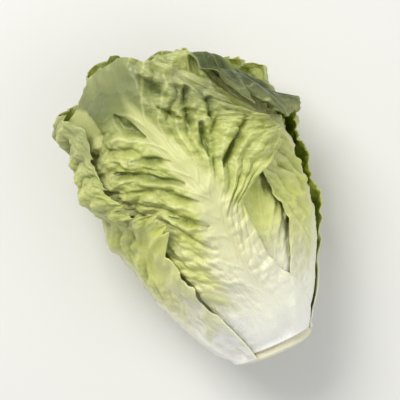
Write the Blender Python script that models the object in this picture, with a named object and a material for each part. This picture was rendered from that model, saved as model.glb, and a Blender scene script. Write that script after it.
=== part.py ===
"""A little gem lettuce, as cut: a short stem, a dense heart and the leaves wrapped round them.

The head lies on its side along +Y, with the cut stem at the low end of Y and the leaf tips at the high end.
Every leaf is laid on the ones inside it. A point of the head is given by its angle round the head's axis
(0 is straight up, a quarter turn is +X), its station along the axis from the cut face, and its radius.
Lengths are in metres and angles in radians unless a name says degrees.
"""

import math
from dataclasses import dataclass, field, replace

import bmesh
import bpy
import numpy as np

COLLECTION = "little_gem_lettuce"
TURN = 2.0 * math.pi

# The head
TIP_STATION = 0.142
AXIS_HEIGHT = 0.0318
AXIS_TILT = math.radians(4.0)
FLAT_SPOT_DEPTH = 0.0007
PRESS_SOFTNESS = 0.04
PRESSED_PLEATS = 0.1
SEED = 11

# The stem and the solid middle of the heart
STEM_RADIUS = 0.0165
STEM_CUT_RADIUS = 0.0153
STEM_TOP_RADIUS = 0.0125
STEM_LENGTH = 0.024
STEM_SHOULDER = 0.003
STEM_SEGMENTS = 28
CORE_START = 0.0245
CORE_END = 0.112
CORE_RADIUS = 0.0225
CORE_FULLNESS = 0.6
CORE_DROOP = 0.8
CORE_SEGMENTS = 24
CORE_RINGS = 16
CORE_FOLDS = 3
CORE_FOLD_DEPTH = 0.0016

# How the leaves follow one another, from the outermost in
GOLDEN_ANGLE = math.radians(137.5)
FIRST_ANGLE = math.radians(-88.0)
OUTER_LEAVES = 9
INNER_LEAVES = 5
HEART_LEAVES = 4
LEAF_COUNT = OUTER_LEAVES + INNER_LEAVES + HEART_LEAVES
FIRST_BASE = 0.0012
BASE_STEP = 0.0015
TIP_DROP = 0.0011
OUTER_TIP_RADIUS = 0.039
HEART_TIP_RADIUS = 0.0015
DOME_START = 0.098
DOME_REACH = 0.056

# A leaf
BLADE_THICKNESS = 0.0009
RIB_SHARE = (0.0, 0.25, 0.5, 0.75, 1.0)
RIB_THICKNESS = (0.0026, 0.0030, 0.0024, 0.0012, 0.0)
RIB_HALF_WIDTH = (0.0110, 0.0085, 0.0050, 0.0030, 0.0020)
OUTLINE_SHARE = (0.0, 0.22, 0.42, 0.52, 0.62, 0.82, 1.0)
OUTLINE_DEGREES = (62.0, 40.0, 48.0, 58.0, 66.0, 70.0, 66.0)
BROAD_REACH = math.radians(60.0)
MARGIN_RISE = 0.016
TIP_ROUNDING = 0.024
PLEAT_HEIGHT = 0.0038
CLEARANCE = 0.0007

# What sets some of the outer leaves apart: the lobe that laps over the front leaf from the left, the front
# leaf with its narrow waist on the right, and the leaf at the right whose tip has rolled outwards
SPECIAL_LEAVES = {
    "outer_leaf_1": {
        "tip": 0.130,
        "right": (62.0, 58.0, 67.0, 64.0, 45.0, 42.0, 34.0),
    },
    "outer_leaf_2": {
        "tip": 0.122,
        "left": (62.0, 38.0, 38.0, 42.0, 45.0, 46.0, 38.0),
    },
    "outer_leaf_3": {
        "angle": math.radians(1.0),
        "foot": math.radians(20.0),
        "lean": math.radians(-32.0),
        "crispness": 1.2,
        "right": (46.0, 18.0, 17.0, 56.0, 66.0, 66.0, 60.0),
    },
    "outer_leaf_5": {
        "tip": 0.158,
        "fold": 0.72,
        "lean": math.radians(-30.0),
        "slant": 0.012,
        "left": (62.0, 42.0, 48.0, 46.0, 38.0, 27.0, 23.0),
        "right": (62.0, 40.0, 47.0, 46.0, 38.0, 27.0, 23.0),
    },
}

# Leaves that stand a little further round than the golden angle puts them, in degrees
TURNED_LEAVES = {"outer_leaf_1": -2.0, "outer_leaf_4": 2.0, "outer_leaf_9": -1.0, "inner_leaf_5": 3.0}

# The tip that has rolled outwards and lies back on the head
ROLL_END = 0.82
ROLL_DEPTH = 0.0045
FLAP_LENGTH = 0.014
FLAP_TAPER = 0.3

# Cells of a leaf's grid, across and along. Its rows alternate between vein and hollow.
OUTER_CELLS = (12, 18)
INNER_CELLS = (10, 14)
HEART_CELLS = (8, 10)
FOLD_ROWS = 18
ROLL_ROWS = 6
FLAP_ROWS = 5
COLUMN_CROWDING = 1.35

# The table on which a packed leaf's height over the axis is kept
TABLE_ANGLES = 144
TABLE_STATIONS = 104
TABLE_STEP = 0.0015
SMOOTHING = 30
SAMPLES = 8
SETTLINGS = 4


def ease(low, high, x):
    """0 below low, 1 above high, and an S curve between."""
    t = np.clip((x - low) / (high - low), 0.0, 1.0)
    return t * t * (3.0 - 2.0 * t)


def eased_table(x, places, values):
    """Reads a table of values with an S curve from each place to the next."""
    result = np.full(np.shape(x), values[0], float)
    for low, high, step in zip(places, places[1:], np.diff(values)):
        result = result + step * ease(low, high, x)
    return result


@dataclass
class Leaf:
    """What sets one leaf apart from the next. Below 1, fold is the share of it that comes before its roll."""

    name: str
    cells: tuple
    angle: float
    base: float
    tip: float
    tip_radius: float
    spread: float
    lean: float
    flare: float
    lift: float
    wave_turns: float
    wave_phase: float
    crispness: float
    pleat_strength: np.ndarray
    left: tuple = OUTLINE_DEGREES
    right: tuple = OUTLINE_DEGREES
    foot: float = 0.0
    slant: float = 0.0
    fold: float = 1.0


def leaf_plan():
    """The leaves from the outermost in, each a golden angle on from the last."""
    draw = np.random.default_rng(SEED)
    kinds = (
        ("outer_leaf", OUTER_LEAVES, OUTER_CELLS),
        ("inner_leaf", INNER_LEAVES, INNER_CELLS),
        ("heart_leaf", HEART_LEAVES, HEART_CELLS),
    )
    leaves = []
    for kind, count, cells in kinds:
        for number in range(1, count + 1):
            order = len(leaves)
            inwards = order / (LEAF_COUNT - 1)
            leaf = Leaf(
                name=f"{kind}_{number}",
                cells=cells,
                angle=FIRST_ANGLE - order * GOLDEN_ANGLE + math.radians(draw.uniform(-5, 5)),
                base=FIRST_BASE + order * BASE_STEP,
                tip=TIP_STATION - order * TIP_DROP + draw.uniform(-0.004, 0.004),
                tip_radius=OUTER_TIP_RADIUS + (HEART_TIP_RADIUS - OUTER_TIP_RADIUS) * inwards,
                spread=1.0 - 0.12 * inwards,
                lean=math.radians(draw.uniform(-12, 12)),
                flare=draw.uniform(0.002, 0.006) * (1.0 - 0.7 * inwards),
                lift=draw.uniform(0.0010, 0.0030) * (1.0 - 0.7 * inwards),
                wave_turns=draw.uniform(1.2, 2.0),
                wave_phase=draw.uniform(0.0, TURN),
                crispness=1.0 - 0.7 * inwards,
                pleat_strength=draw.uniform(0.5, 1.2, OUTER_CELLS[1] + 2),
            )
            leaf = replace(leaf, **SPECIAL_LEAVES.get(leaf.name, {}))
            leaf.angle += math.radians(TURNED_LEAVES.get(leaf.name, 0.0))
            if leaf.fold < 1.0:
                leaf.cells = (leaf.cells[0], FOLD_ROWS + ROLL_ROWS + FLAP_ROWS)
            leaves.append(leaf)
    return leaves


def core_radius(station):
    """Radius of the heart's solid middle at a station, 0 beyond its ends."""
    share = np.clip((station - CORE_START) / (CORE_END - CORE_START), 0.0, 1.0)
    return CORE_RADIUS * np.sin(math.pi * share**CORE_DROOP).clip(0.0) ** CORE_FULLNESS


def stem_radius(station):
    taper = np.clip((station - STEM_SHOULDER) / (STEM_LENGTH - STEM_SHOULDER), 0.0, 1.0)
    return STEM_RADIUS + (STEM_TOP_RADIUS - STEM_RADIUS) * taper


class Table:
    """The outside of the head so far, as a radius for each angle and station."""

    def __init__(self):
        station = np.arange(TABLE_STATIONS) * TABLE_STEP
        bare = np.where(station < STEM_LENGTH, stem_radius(station), core_radius(station) + CORE_FOLD_DEPTH)
        self.radius = np.tile(bare, (TABLE_ANGLES, 1))

    def place(self, angle, station):
        """Where a point falls between the table's cells."""
        across = (angle / TURN * TABLE_ANGLES) % TABLE_ANGLES
        along = np.clip(station / TABLE_STEP, 0.0, TABLE_STATIONS - 1.001)
        return across, along

    def read(self, radius, angle, station):
        across, along = self.place(angle, station)
        i, j = across.astype(int) % TABLE_ANGLES, along.astype(int)
        a, b = across - np.floor(across), along - j
        k = (i + 1) % TABLE_ANGLES
        low = (1 - a) * radius[i, j] + a * radius[k, j]
        high = (1 - a) * radius[i, j + 1] + a * radius[k, j + 1]
        return (1 - b) * low + b * high

    def cover(self, angle, station, radius):
        """Raises the table to the given points."""
        across, along = self.place(angle, station)
        for i in (np.floor(across), np.ceil(across)):
            for j in (np.floor(along), np.ceil(along)):
                np.maximum.at(self.radius, (i.astype(int) % TABLE_ANGLES, j.astype(int)), radius)

    def draped(self, floor):
        """A smooth sheet that lies on the given radii and never dips into them."""
        sheet = floor.copy()
        station = np.arange(TABLE_STATIONS) * TABLE_STEP
        loose = 0.1 + 0.9 * ease(0.004, 0.030, station)
        for _ in range(SMOOTHING):
            soft = (np.roll(sheet, 1, 0) + 2 * sheet + np.roll(sheet, -1, 0)) / 4
            wide = np.pad(soft, ((0, 0), (1, 1)), mode="edge")
            soft = (wide[:, :-2] + 2 * soft + wide[:, 2:]) / 4
            sheet = np.maximum(floor, sheet + loose * (soft - sheet))
        return sheet


def half_angle(leaf, u, v):
    """How far the blade reaches from its midrib, on the side that u is on."""
    left = eased_table(v, OUTLINE_SHARE, leaf.left)
    right = eased_table(v, OUTLINE_SHARE, leaf.right)
    return np.radians(np.where(u < 0, left, right)) * leaf.spread


def blade_place(leaf, u, v):
    """Angle and station of a blade's point. u runs across, -1 to 1, and v from base to tip, 0 to 1."""
    lobes = 1.0 + 0.05 * np.sin(TURN * leaf.wave_turns * v + leaf.wave_phase)
    foot = leaf.foot * (1.0 - ease(0.0, 0.3, v))
    lean = leaf.lean * ease(0.45 * leaf.fold, leaf.fold, v)
    reach = half_angle(leaf, u, v)
    angle = leaf.angle + foot + lean + reach * lobes * u
    broad = reach / BROAD_REACH
    rise = MARGIN_RISE * broad * np.abs(u) ** 1.2 * ease(0.0, 0.25, v)
    fall = (MARGIN_RISE + TIP_ROUNDING) * broad * np.abs(u) ** 1.6 * ease(0.3, 1.0, v)
    slant = leaf.slant * u * ease(0.4, 0.7, v)
    return angle, leaf.base + (leaf.tip - leaf.base) * v + rise - fall - slant


def pleat(leaf, u, v, row):
    """Height of the folds between side veins: rows alternate vein and hollow, the other way on the left."""
    strength = leaf.pleat_strength[np.minimum(row, len(leaf.pleat_strength) - 1)]
    fold = 0.5 + 0.5 * np.cos(math.pi * (row + (u < 0)))
    across = ease(0.04, 0.3, np.abs(u)) * (1.0 - 0.4 * ease(0.7, 1.0, np.abs(u)))
    along = ease(0.15, 0.4, v) * (1.0 - 0.5 * ease(0.85, 1.0, v)) * (row < FOLD_ROWS)
    return PLEAT_HEIGHT * leaf.crispness * strength * fold * across * along


def margin_lift(leaf, u, v):
    """How far a free edge stands off the leaf below, in waves."""
    edge = ease(0.55, 1.0, np.abs(u)) * ease(0.2, 0.5, v)
    side = np.where(u < 0, 1.7, 0.0)
    wave = 0.5 + 0.5 * np.sin(TURN * 3.0 * leaf.wave_turns * v + leaf.wave_phase + side)
    tip = ease(0.82, 1.0, v) ** 2
    tip_wave = 0.7 + 0.5 * np.sin(5.0 * u + leaf.wave_phase)
    return leaf.lift * edge * wave + leaf.flare * tip * tip_wave


def thickness(leaf, u, v, radius):
    """Thickness of a leaf: a thin blade, and a fleshy midrib that fades towards the tip."""
    off_rib = np.abs(u) * half_angle(leaf, u, v) * radius
    rib = eased_table(v, RIB_SHARE, RIB_THICKNESS)
    width = eased_table(v, RIB_SHARE, RIB_HALF_WIDTH)
    flesh = BLADE_THICKNESS * (1.0 + 0.3 * (1.0 - ease(0.1, 0.35, v)))
    root = 0.3 + 0.7 * ease(0.0, 0.06, v)
    return flesh + root * leaf.spread * rib * np.exp(-((off_rib / width) ** 2))


def inside_triangles():
    """Weights of the points at which a triangle is sampled."""
    weights = [
        (i / SAMPLES, j / SAMPLES, 1.0 - (i + j) / SAMPLES)
        for i in range(SAMPLES + 1)
        for j in range(SAMPLES + 1 - i)
    ]
    return np.array(weights)


def sampled(triangles, angle, station, radius):
    """Angle, station and radius of points spread over flat triangles."""
    corners = (radius * np.sin(angle), radius * np.cos(angle), station)
    x, up, along = (values.reshape(-1)[triangles] @ inside_triangles().T for values in corners)
    return np.arctan2(x, up), along, np.hypot(x, up)


@dataclass
class Blank:
    """A leaf's flat blank, with the column, row and face (0 inner, 1 outer) of each of its mesh's points."""

    mesh: bmesh.types.BMesh
    cells: tuple
    face: np.ndarray
    column: np.ndarray
    row: np.ndarray
    triangles: np.ndarray = field(init=False)

    def __post_init__(self):
        number = self.column * (self.cells[1] + 1) + self.row
        sheet = [face for face in self.mesh.faces if len(face.verts) == 3]
        corners = np.array([[vert.index for vert in face.verts] for face in sheet])
        self.triangles = number[corners[~self.face[corners].any(axis=1)]]


def flat_blank(cells):
    """A grid one unit thick, with its triangles alike on both faces."""
    mesh = bmesh.new()
    bmesh.ops.create_grid(mesh, x_segments=cells[0], y_segments=cells[1], size=1.0)
    bmesh.ops.triangulate(mesh, faces=mesh.faces[:], quad_method="FIXED")
    bmesh.ops.solidify(mesh, geom=mesh.faces[:], thickness=1.0)
    bmesh.ops.recalc_face_normals(mesh, faces=mesh.faces[:])
    mesh.verts.index_update()
    points = np.array([vert.co[:] for vert in mesh.verts])
    outer = points[:, 2] - points[:, 2].min() > 0.5
    column, row = np.rint((points[:, :2] + 1.0) / 2.0 * cells).astype(int).T
    return Blank(mesh, cells, outer.astype(int), column, row)


def blank_places(leaf):
    """u, v and row of the blank's grid. Columns crowd to the midrib, and rows to the roll of a rolled tip."""
    across = np.linspace(-1.0, 1.0, leaf.cells[0] + 1)
    rows = np.arange(leaf.cells[1] + 1)
    along = rows / leaf.cells[1]
    if leaf.fold < 1.0:
        along = np.interp(rows, (0, FOLD_ROWS, FOLD_ROWS + ROLL_ROWS, rows[-1]), (0, leaf.fold, ROLL_END, 1))
    crowded = np.sign(across) * np.abs(across) ** COLUMN_CROWDING
    u, v = np.meshgrid(crowded, along, indexing="ij")
    return u, v, np.broadcast_to(rows, u.shape)


def settled(low, angle, station, triangles, table):
    """Raises a sheet's points until none of its triangles dips into the table."""
    for _ in range(SETTLINGS):
        across, along, radius = sampled(triangles, angle, station, low)
        short = (table.read(table.radius, across, along) + CLEARANCE - radius).max(axis=1).clip(0.0)
        rise = np.zeros(low.size)
        for corner in triangles.T:
            np.maximum.at(rise, corner, short)
        low = low + rise.reshape(low.shape)
    return low


def lay_leaf(leaf, table):
    """Lays one leaf on the table, and gives its blank with each point's angle, station and radius by face."""
    blank = flat_blank(leaf.cells)
    u, v, row = blank_places(leaf)
    v = np.minimum(v, leaf.fold)
    angle, station = blade_place(leaf, u, v)
    stations = np.arange(TABLE_STATIONS) * TABLE_STEP
    dome = np.sqrt(1.0 - (np.maximum(stations - DOME_START, 0.0) / DOME_REACH).clip(0.0, 1.0) ** 2)
    own = leaf.tip_radius * ease(0.05, 0.11, stations) * dome
    sheet = table.draped(np.maximum(table.radius + CLEARANCE, own))
    loose = 1.0 - (1.0 - PRESSED_PLEATS) * ease(0.65, 0.95, -np.cos(angle))
    inner = table.read(sheet, angle, station) + loose * (pleat(leaf, u, v, row) + margin_lift(leaf, u, v))
    laid = blank.triangles[(row.reshape(-1)[blank.triangles] <= FOLD_ROWS).all(axis=1)]
    inner = settled(inner, angle, station, laid, table)
    if leaf.fold < 1.0:
        inner[:, FOLD_ROWS:] = inner[:, FOLD_ROWS : FOLD_ROWS + 1]
    outer = inner + thickness(leaf, u, v, inner)
    table.cover(*sampled(laid, angle, station, outer))
    return blank, angle, np.stack([station, station]), np.stack([inner, outer])


def roll_tip(leaf, table, blank, angle, stations, radii):
    """Rolls a laid leaf's tip outwards past its fold, and lays it back on the finished head."""
    u, v, row = blank_places(leaf)
    turn = math.pi * np.clip((v - leaf.fold) / (ROLL_END - leaf.fold), 0.0, 1.0)
    beyond = np.clip((v - ROLL_END) / (1.0 - ROLL_END), 0.0, 1.0)
    middle = angle[leaf.cells[0] // 2, FOLD_ROWS]
    width = half_angle(leaf, u, np.maximum(v, leaf.fold)) / half_angle(leaf, u, np.full_like(v, leaf.fold))
    angle = middle + (angle - middle) * width
    station = stations[0] - FLAP_LENGTH * beyond * (1.0 + FLAP_TAPER * u)
    blade = radii[1] - radii[0]
    lying = table.read(table.draped(table.radius + CLEARANCE), angle, station)
    flat = blank.triangles[(row.reshape(-1)[blank.triangles] >= FOLD_ROWS + ROLL_ROWS).all(axis=1)]
    lying = settled(lying, angle, station, flat, table) + blade
    start = radii[0]
    inner_radius = start + (lying - start) * (1.0 - np.cos(turn)) / 2.0
    inner_station = station + ROLL_DEPTH * np.sin(turn)
    outer_radius = inner_radius + blade * np.cos(turn)
    outer_station = inner_station - blade * np.sin(turn)
    return blank, angle, np.stack([inner_station, outer_station]), np.stack([inner_radius, outer_radius])


def ground_radius(angle, station, axis_height):
    """Radius at which a point would touch the surface that the head lies on."""
    down = np.maximum(-np.cos(angle) * math.cos(AXIS_TILT), 0.05)
    return (axis_height + station * math.sin(AXIS_TILT)) / down


def pressed(table):
    """The share of its radius that each part of the head keeps where the head's weight flattens it."""
    angle = np.arange(TABLE_ANGLES)[:, None] * TURN / TABLE_ANGLES
    station = np.arange(TABLE_STATIONS)[None, :] * TABLE_STEP
    share = ground_radius(angle, station, AXIS_HEIGHT + FLAT_SPOT_DEPTH) / table.draped(table.radius)
    return (share + 1.0 - np.hypot(share - 1.0, PRESS_SOFTNESS)) / 2.0


def pressed_leaf(table, share, blank, angle, stations, radii):
    """A leaf where the head is pressed: its flat spot is level with the surface, its thickness kept."""
    radii = radii * np.stack([table.read(share, angle, station) for station in stations])
    excess = (radii[1] - ground_radius(angle, stations[1], AXIS_HEIGHT)).clip(0.0)
    return blank, angle, stations, radii - excess


def standing(angle, station, radius):
    """Turns angle, station and radius into x, y and z over the surface, before the head is centred."""
    up = radius * np.cos(angle)
    x = radius * np.sin(angle)
    y = station * math.cos(AXIS_TILT) - up * math.sin(AXIS_TILT)
    z = AXIS_HEIGHT + station * math.sin(AXIS_TILT) + up * math.cos(AXIS_TILT)
    return np.stack([x, y, z], axis=1)


def stem_mesh():
    """The stem: a short turned stub with a flat cut face."""
    mesh = bmesh.new()
    stations = (0.0, 0.0010, STEM_SHOULDER, STEM_LENGTH)
    radii = (STEM_CUT_RADIUS, STEM_RADIUS, STEM_RADIUS, STEM_TOP_RADIUS)
    bmesh.ops.create_cone(
        mesh,
        cap_ends=True,
        cap_tris=True,
        segments=STEM_SEGMENTS,
        radius1=1.0,
        radius2=1.0,
        depth=1.0,
    )
    bmesh.ops.subdivide_edges(
        mesh,
        edges=[e for e in mesh.edges if abs(e.verts[0].co.z - e.verts[1].co.z) > 0.5],
        cuts=len(stations) - 2,
        use_grid_fill=False,
    )
    points = np.array([vert.co[:] for vert in mesh.verts])
    level = np.rint((points[:, 2] + 0.5) * (len(stations) - 1)).astype(int)
    on_axis = np.hypot(points[:, 0], points[:, 1]) < 0.5
    angle = np.arctan2(points[:, 0], points[:, 1])
    radius = np.where(on_axis, 0.0, np.array(radii)[level])
    return mesh, angle, np.array(stations)[level], radius


def core_mesh():
    """The heart's solid middle: an egg with spiral folds."""
    mesh = bmesh.new()
    bmesh.ops.create_uvsphere(mesh, u_segments=CORE_SEGMENTS, v_segments=CORE_RINGS, radius=1.0)
    points = np.array([vert.co[:] for vert in mesh.verts])
    share = 0.5 + 0.5 * points[:, 2]
    station = CORE_START + 0.0003 + (CORE_END - CORE_START - 0.0006) * share
    angle = np.arctan2(points[:, 0], points[:, 1])
    fold = 0.5 + 0.5 * np.sin(CORE_FOLDS * angle + 7.0 * share)
    radius = core_radius(station) + CORE_FOLD_DEPTH * fold * np.hypot(points[:, 0], points[:, 1])
    on_axis = np.hypot(points[:, 0], points[:, 1]) < 1e-6
    return mesh, angle, station, np.where(on_axis, 0.0, radius)


def leaf_mesh(blank, angle, stations, radii):
    """The blank's mesh, with the angle, station and radius of each of its points."""
    place = blank.face, blank.column, blank.row
    return blank.mesh, angle[blank.column, blank.row], stations[place], radii[place]


def material(name, colour, roughness):
    made = bpy.data.materials.new(name)
    made.use_nodes = True
    shader = made.node_tree.nodes["Principled BSDF"]
    shader.inputs["Base Color"].default_value = (*colour, 1.0)
    shader.inputs["Roughness"].default_value = roughness
    shader.inputs["Metallic"].default_value = 0.0
    return made


def clear_scene():
    for obj in list(bpy.data.objects):
        bpy.data.objects.remove(obj, do_unlink=True)


def add_object(name, mesh, points, finish, collection):
    for vert, point in zip(mesh.verts, points):
        vert.co = point
    if mesh.calc_volume(signed=True) < 0.0:
        bmesh.ops.reverse_faces(mesh, faces=mesh.faces[:])
    data = bpy.data.meshes.new(name)
    mesh.to_mesh(data)
    mesh.free()
    data.shade_smooth()
    data.set_sharp_from_angle(angle=math.radians(50.0))
    data.materials.append(finish)
    obj = bpy.data.objects.new(name, data)
    collection.objects.link(obj)
    return obj


def main():
    clear_scene()
    collection = bpy.data.collections.new(COLLECTION)
    bpy.context.scene.collection.children.link(collection)
    finishes = {
        "outer": material("outer_leaf_green", (0.27, 0.33, 0.10), 0.45),
        "inner": material("inner_leaf_green", (0.42, 0.46, 0.15), 0.45),
        "heart": material("heart_yellow", (0.62, 0.62, 0.28), 0.45),
        "stem": material("stem_cream", (0.78, 0.74, 0.58), 0.50),
    }
    table = Table()
    leaves = leaf_plan()
    laid = {leaf.name: lay_leaf(leaf, table) for leaf in reversed(leaves)}
    share = pressed(table)
    meshes = {}
    for name, (mesh, angle, station, radius) in (("stem", stem_mesh()), ("heart_core", core_mesh())):
        meshes[name] = mesh, standing(angle, station, radius * table.read(share, angle, station))
    for leaf in leaves:
        if leaf.fold < 1.0:
            laid[leaf.name] = roll_tip(leaf, table, *laid[leaf.name])
        mesh, *place = leaf_mesh(*pressed_leaf(table, share, *laid[leaf.name]))
        meshes[leaf.name] = mesh, standing(*place)
    everything = np.concatenate([points for _, points in meshes.values()])
    low, high = everything.min(axis=0), everything.max(axis=0)
    centre = np.array([(low[0] + high[0]) / 2, (low[1] + high[1]) / 2, low[2]])
    for name, (mesh, points) in meshes.items():
        add_object(name, mesh, points - centre, finishes[name.split("_")[0]], collection)


main()
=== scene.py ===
"""The looks of a head of little gem lettuce that lies on its side.

The head is grown again as its solids are, leaf on leaf from the heart out, on a grid fine enough for the
folds between the side veins, the blisters between the small veins and the crisped margins. A point of the
head is given by its angle round the head's axis (0 is straight up, a quarter turn is +X), its station along
the axis from the cut face, and its radius. A point of a leaf is given by u, which runs across it from -1 to 1
with 0 on the midrib, and by v, which runs from 0 at its base to 1 at its tip. Lengths are in metres.
"""

import functools
import math
from collections import namedtuple
from dataclasses import dataclass, replace

import bmesh
import bpy
import numpy as np
from bpy.props import FloatProperty, FloatVectorProperty, IntProperty, PointerProperty
from bpy.types import Operator, Panel, PropertyGroup
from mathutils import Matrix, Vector


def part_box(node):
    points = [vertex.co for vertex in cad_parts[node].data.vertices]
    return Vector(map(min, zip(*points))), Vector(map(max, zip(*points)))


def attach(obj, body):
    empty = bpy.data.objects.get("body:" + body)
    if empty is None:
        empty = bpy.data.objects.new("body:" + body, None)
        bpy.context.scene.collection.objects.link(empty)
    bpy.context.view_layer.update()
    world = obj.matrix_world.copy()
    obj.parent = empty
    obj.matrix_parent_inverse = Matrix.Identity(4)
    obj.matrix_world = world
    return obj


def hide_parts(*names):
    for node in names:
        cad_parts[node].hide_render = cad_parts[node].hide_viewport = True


bl_info = {
    "name": "Little gem lettuce",
    "version": (1, 0, 0),
    "blender": (4, 5, 0),
    "location": "3D View > Sidebar > Lettuce",
    "description": "Grows a head of little gem lettuce, leaf on leaf, round the packed model",
    "category": "Add Mesh",
}

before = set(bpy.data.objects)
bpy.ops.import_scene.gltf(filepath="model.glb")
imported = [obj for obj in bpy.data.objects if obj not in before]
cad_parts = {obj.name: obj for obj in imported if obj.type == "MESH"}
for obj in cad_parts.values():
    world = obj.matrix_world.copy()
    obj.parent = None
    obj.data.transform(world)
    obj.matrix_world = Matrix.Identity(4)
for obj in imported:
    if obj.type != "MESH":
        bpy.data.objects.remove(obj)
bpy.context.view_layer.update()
TURN = 2.0 * math.pi
MILLIMETRES = 1000.0

# The length of the head, and how its axis lies, as in the solids
TIP_STATION = 0.142
AXIS_HEIGHT = 0.0318
AXIS_TILT = math.radians(4.0)

# Where the head's weight flattens it, and what that leaves of the folds
FLAT_SPOT_DEPTH = 0.0054
PRESS_SOFTNESS = 0.04
LEAST_DOWN = 0.05
PRESSED_SIDE = (0.65, 0.95)
PRESSED_FOLDS = 0.5

# The stem. Its profile is given by station and radius
STEM_RADIUS = 0.0165
STEM_CUT_RADIUS = 0.0153
STEM_TOP_RADIUS = 0.0125
STEM_LENGTH = 0.024
STEM_EDGE = 0.0010
STEM_SHOULDER = 0.003
STEM_TURNS = 96
STEM_ROWS = 71
STEM_PROFILE = (
    (0.0, 0.0),
    (0.0, STEM_CUT_RADIUS),
    (STEM_EDGE, STEM_RADIUS),
    (STEM_SHOULDER, STEM_RADIUS),
    (STEM_LENGTH, STEM_TOP_RADIUS),
    (STEM_LENGTH, 0.0),
)
STEM_SWELL = 0.0004
SWELL_START = (0.0, 0.0008)
SWELL_SIDE = (0.5, 1.0)
WELD = 1e-6

# Marks on the stem: its ring of veins, the knife's strokes, and the scars of trimmed leaves
VEIN_RING = 0.62
VEIN_RING_WIDTH = 0.07
STROKE_WIDTH = 0.0012
STROKE_LENGTH = 0.006
STROKE_SEED = 5
CUT_RELIEF = 0.0005
CUT_HOLLOW = (0.0, 0.45)
CUT_RIM = (0.88, 1.0)
SCARS_ROUND = 9.0
SCAR_SPACING = 0.004
SCAR_HEIGHT = 0.0004
SCAR_TOP = (0.02, STEM_LENGTH)
SCAR_SIDE = (0.2, 0.9)
SCAR_SEED = 8

# The solid middle of the heart
CORE_START = 0.0245
CORE_END = 0.112
CORE_INSET = 0.0003
CORE_RADIUS = 0.0225
CORE_FULLNESS = 0.6
CORE_DROOP = 0.8
CORE_CLOSING = 0.002
CORE_FOLDS = 3
CORE_FOLD_DEPTH = 0.0016
CORE_FOLD_TWIST = 7.0
CORE_TURNS = 96
CORE_ROWS = 73
CORE_CRISPS_ROUND = 16.0
CORE_CRISP_LENGTH = 0.006
CORE_CRISP_HEIGHT = 0.0003
CORE_SEED = 12
CORE_GRAIN_RADIUS = 0.02

# How the leaves follow one another, from the outermost in
GOLDEN_ANGLE = math.radians(137.5)
FIRST_ANGLE = math.radians(-88.0)
OUTER_LEAVES = 9
INNER_LEAVES = 5
HEART_LEAVES = 4
LEAF_COUNT = OUTER_LEAVES + INNER_LEAVES + HEART_LEAVES
FIRST_BASE = 0.0012
BASE_STEP = 0.0015
TIP_DROP = 0.0011
OUTER_TIP_RADIUS = 0.039
HEART_TIP_RADIUS = 0.0015
OWN_RADIUS_REACH = (0.05, 0.11)
DOME_START = 0.098
DOME_REACH = 0.056
CLEARANCE = 0.0007
TOUCHING = 0.0002

# What is drawn for each leaf, as the least and the most, with angles in degrees, and how much less of it
# the innermost leaf has
ANGLE_DRAW = (-5, 5)
TIP_DRAW = (-0.004, 0.004)
LEAN_DRAW = (-12, 12)
FLARE_DRAW = (0.002, 0.006)
LIFT_DRAW = (0.0010, 0.0030)
WAVE_DRAW = (1.2, 2.0)
INNER_NARROWING = 0.12
INNER_CALM = 0.7
SOLID_FOLD_DRAWS = 20

# A leaf's midrib, by its share of the leaf's length
RIB_SHARE = (0.0, 0.25, 0.5, 0.75, 1.0)
RIB_THICKNESS = (0.0026, 0.0030, 0.0024, 0.0012, 0.0)
RIB_HALF_WIDTH = (0.0110, 0.0085, 0.0050, 0.0030, 0.0020)
RIB_REACH = 1.15
RIB_RIDGE_WIDTH = 0.0016
RIB_RIDGE_HEIGHT = 0.05
RIB_RIDGE_TURNS = 5.0
RIB_ROOT = (0.0, 0.06)
RIB_ROOT_SHARE = 0.3
PALE_RIB_END = (0.7, 0.95)
PALE_RIB_LOSS = 0.75
THIN_MARGIN = (0.5, 1.0)
THICK_FOOT = (0.1, 0.35)
FOOT_THICKENING = 0.3
PALE_MARGIN = (0.86, 1.0)

# A leaf's outline, as the degrees that it reaches round the head
OUTLINE_SHARE = (0.0, 0.22, 0.42, 0.52, 0.62, 0.82, 1.0)
OUTLINE_DEGREES = (62.0, 40.0, 48.0, 58.0, 66.0, 70.0, 66.0)
BROAD_REACH = math.radians(60.0)
FULL_RELIEF_REACH = math.radians(42.0)
LOBE_DEPTH = 0.05
MARGIN_RISE = 0.016
TIP_ROUNDING = 0.024
RISE_REACH = (0.0, 0.25)
RISE_CURVE = 1.2
FALL_REACH = (0.3, 1.0)
FALL_CURVE = 1.6
SLANT_REACH = (0.4, 0.7)
FOOT_REACH = (0.0, 0.3)
LEAN_START = 0.45

# Nicks in a leaf's margin: how many along it, how strong, and the name of their draw
NICKS = ((24.0, 1.0, "nicks"), (8.0, 1.0, "long nicks"), (56.0, 0.7, "fine nicks"))
NICK_DEPTH = 0.035
NICKED_SIDE = (0.5, 1.0)
NICKED_FROM = (0.08, 0.22)
NICK_LEAF_SHIFT = 7.3
NICK_SIDE_SHIFT = 31.0
TIP_NICKS = 7.0
TIP_NICK_DEPTH = 0.016
NICKED_TIP = (0.75, 1.0)

# How a leaf's free margin stands off
MARGIN_WAVES = 3.0
MARGIN_SIDE = (0.55, 1.0)
MARGIN_FROM = (0.12, 0.4)
MARGIN_SIDE_SHIFT = 1.7
LIFTED_TIP = (0.82, 1.0)
FRILLED_TIP = (0.85, 1.0)
CRISPS_ALONG = 20.0
CRISPS_ACROSS = 9.0
TIP_WAVES = 5.0

# Cells of a leaf's grid, across and along
FRONT_CELLS = (150, 230)
OUTER_CELLS = (112, 168)
COVERED_CELLS = (84, 120)
INNER_CELLS = (64, 90)
HEART_CELLS = (48, 60)
COLUMN_CROWDING = 1.15

# The first leaves show best. The others have lower folds, and a leaf is pale where it lies deep under another
WELL_SHOWN_LEAVES = 5
COVERED_CRISPNESS = 0.4
SHOWN_DEPTH = (0.0015, 0.008)

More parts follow.
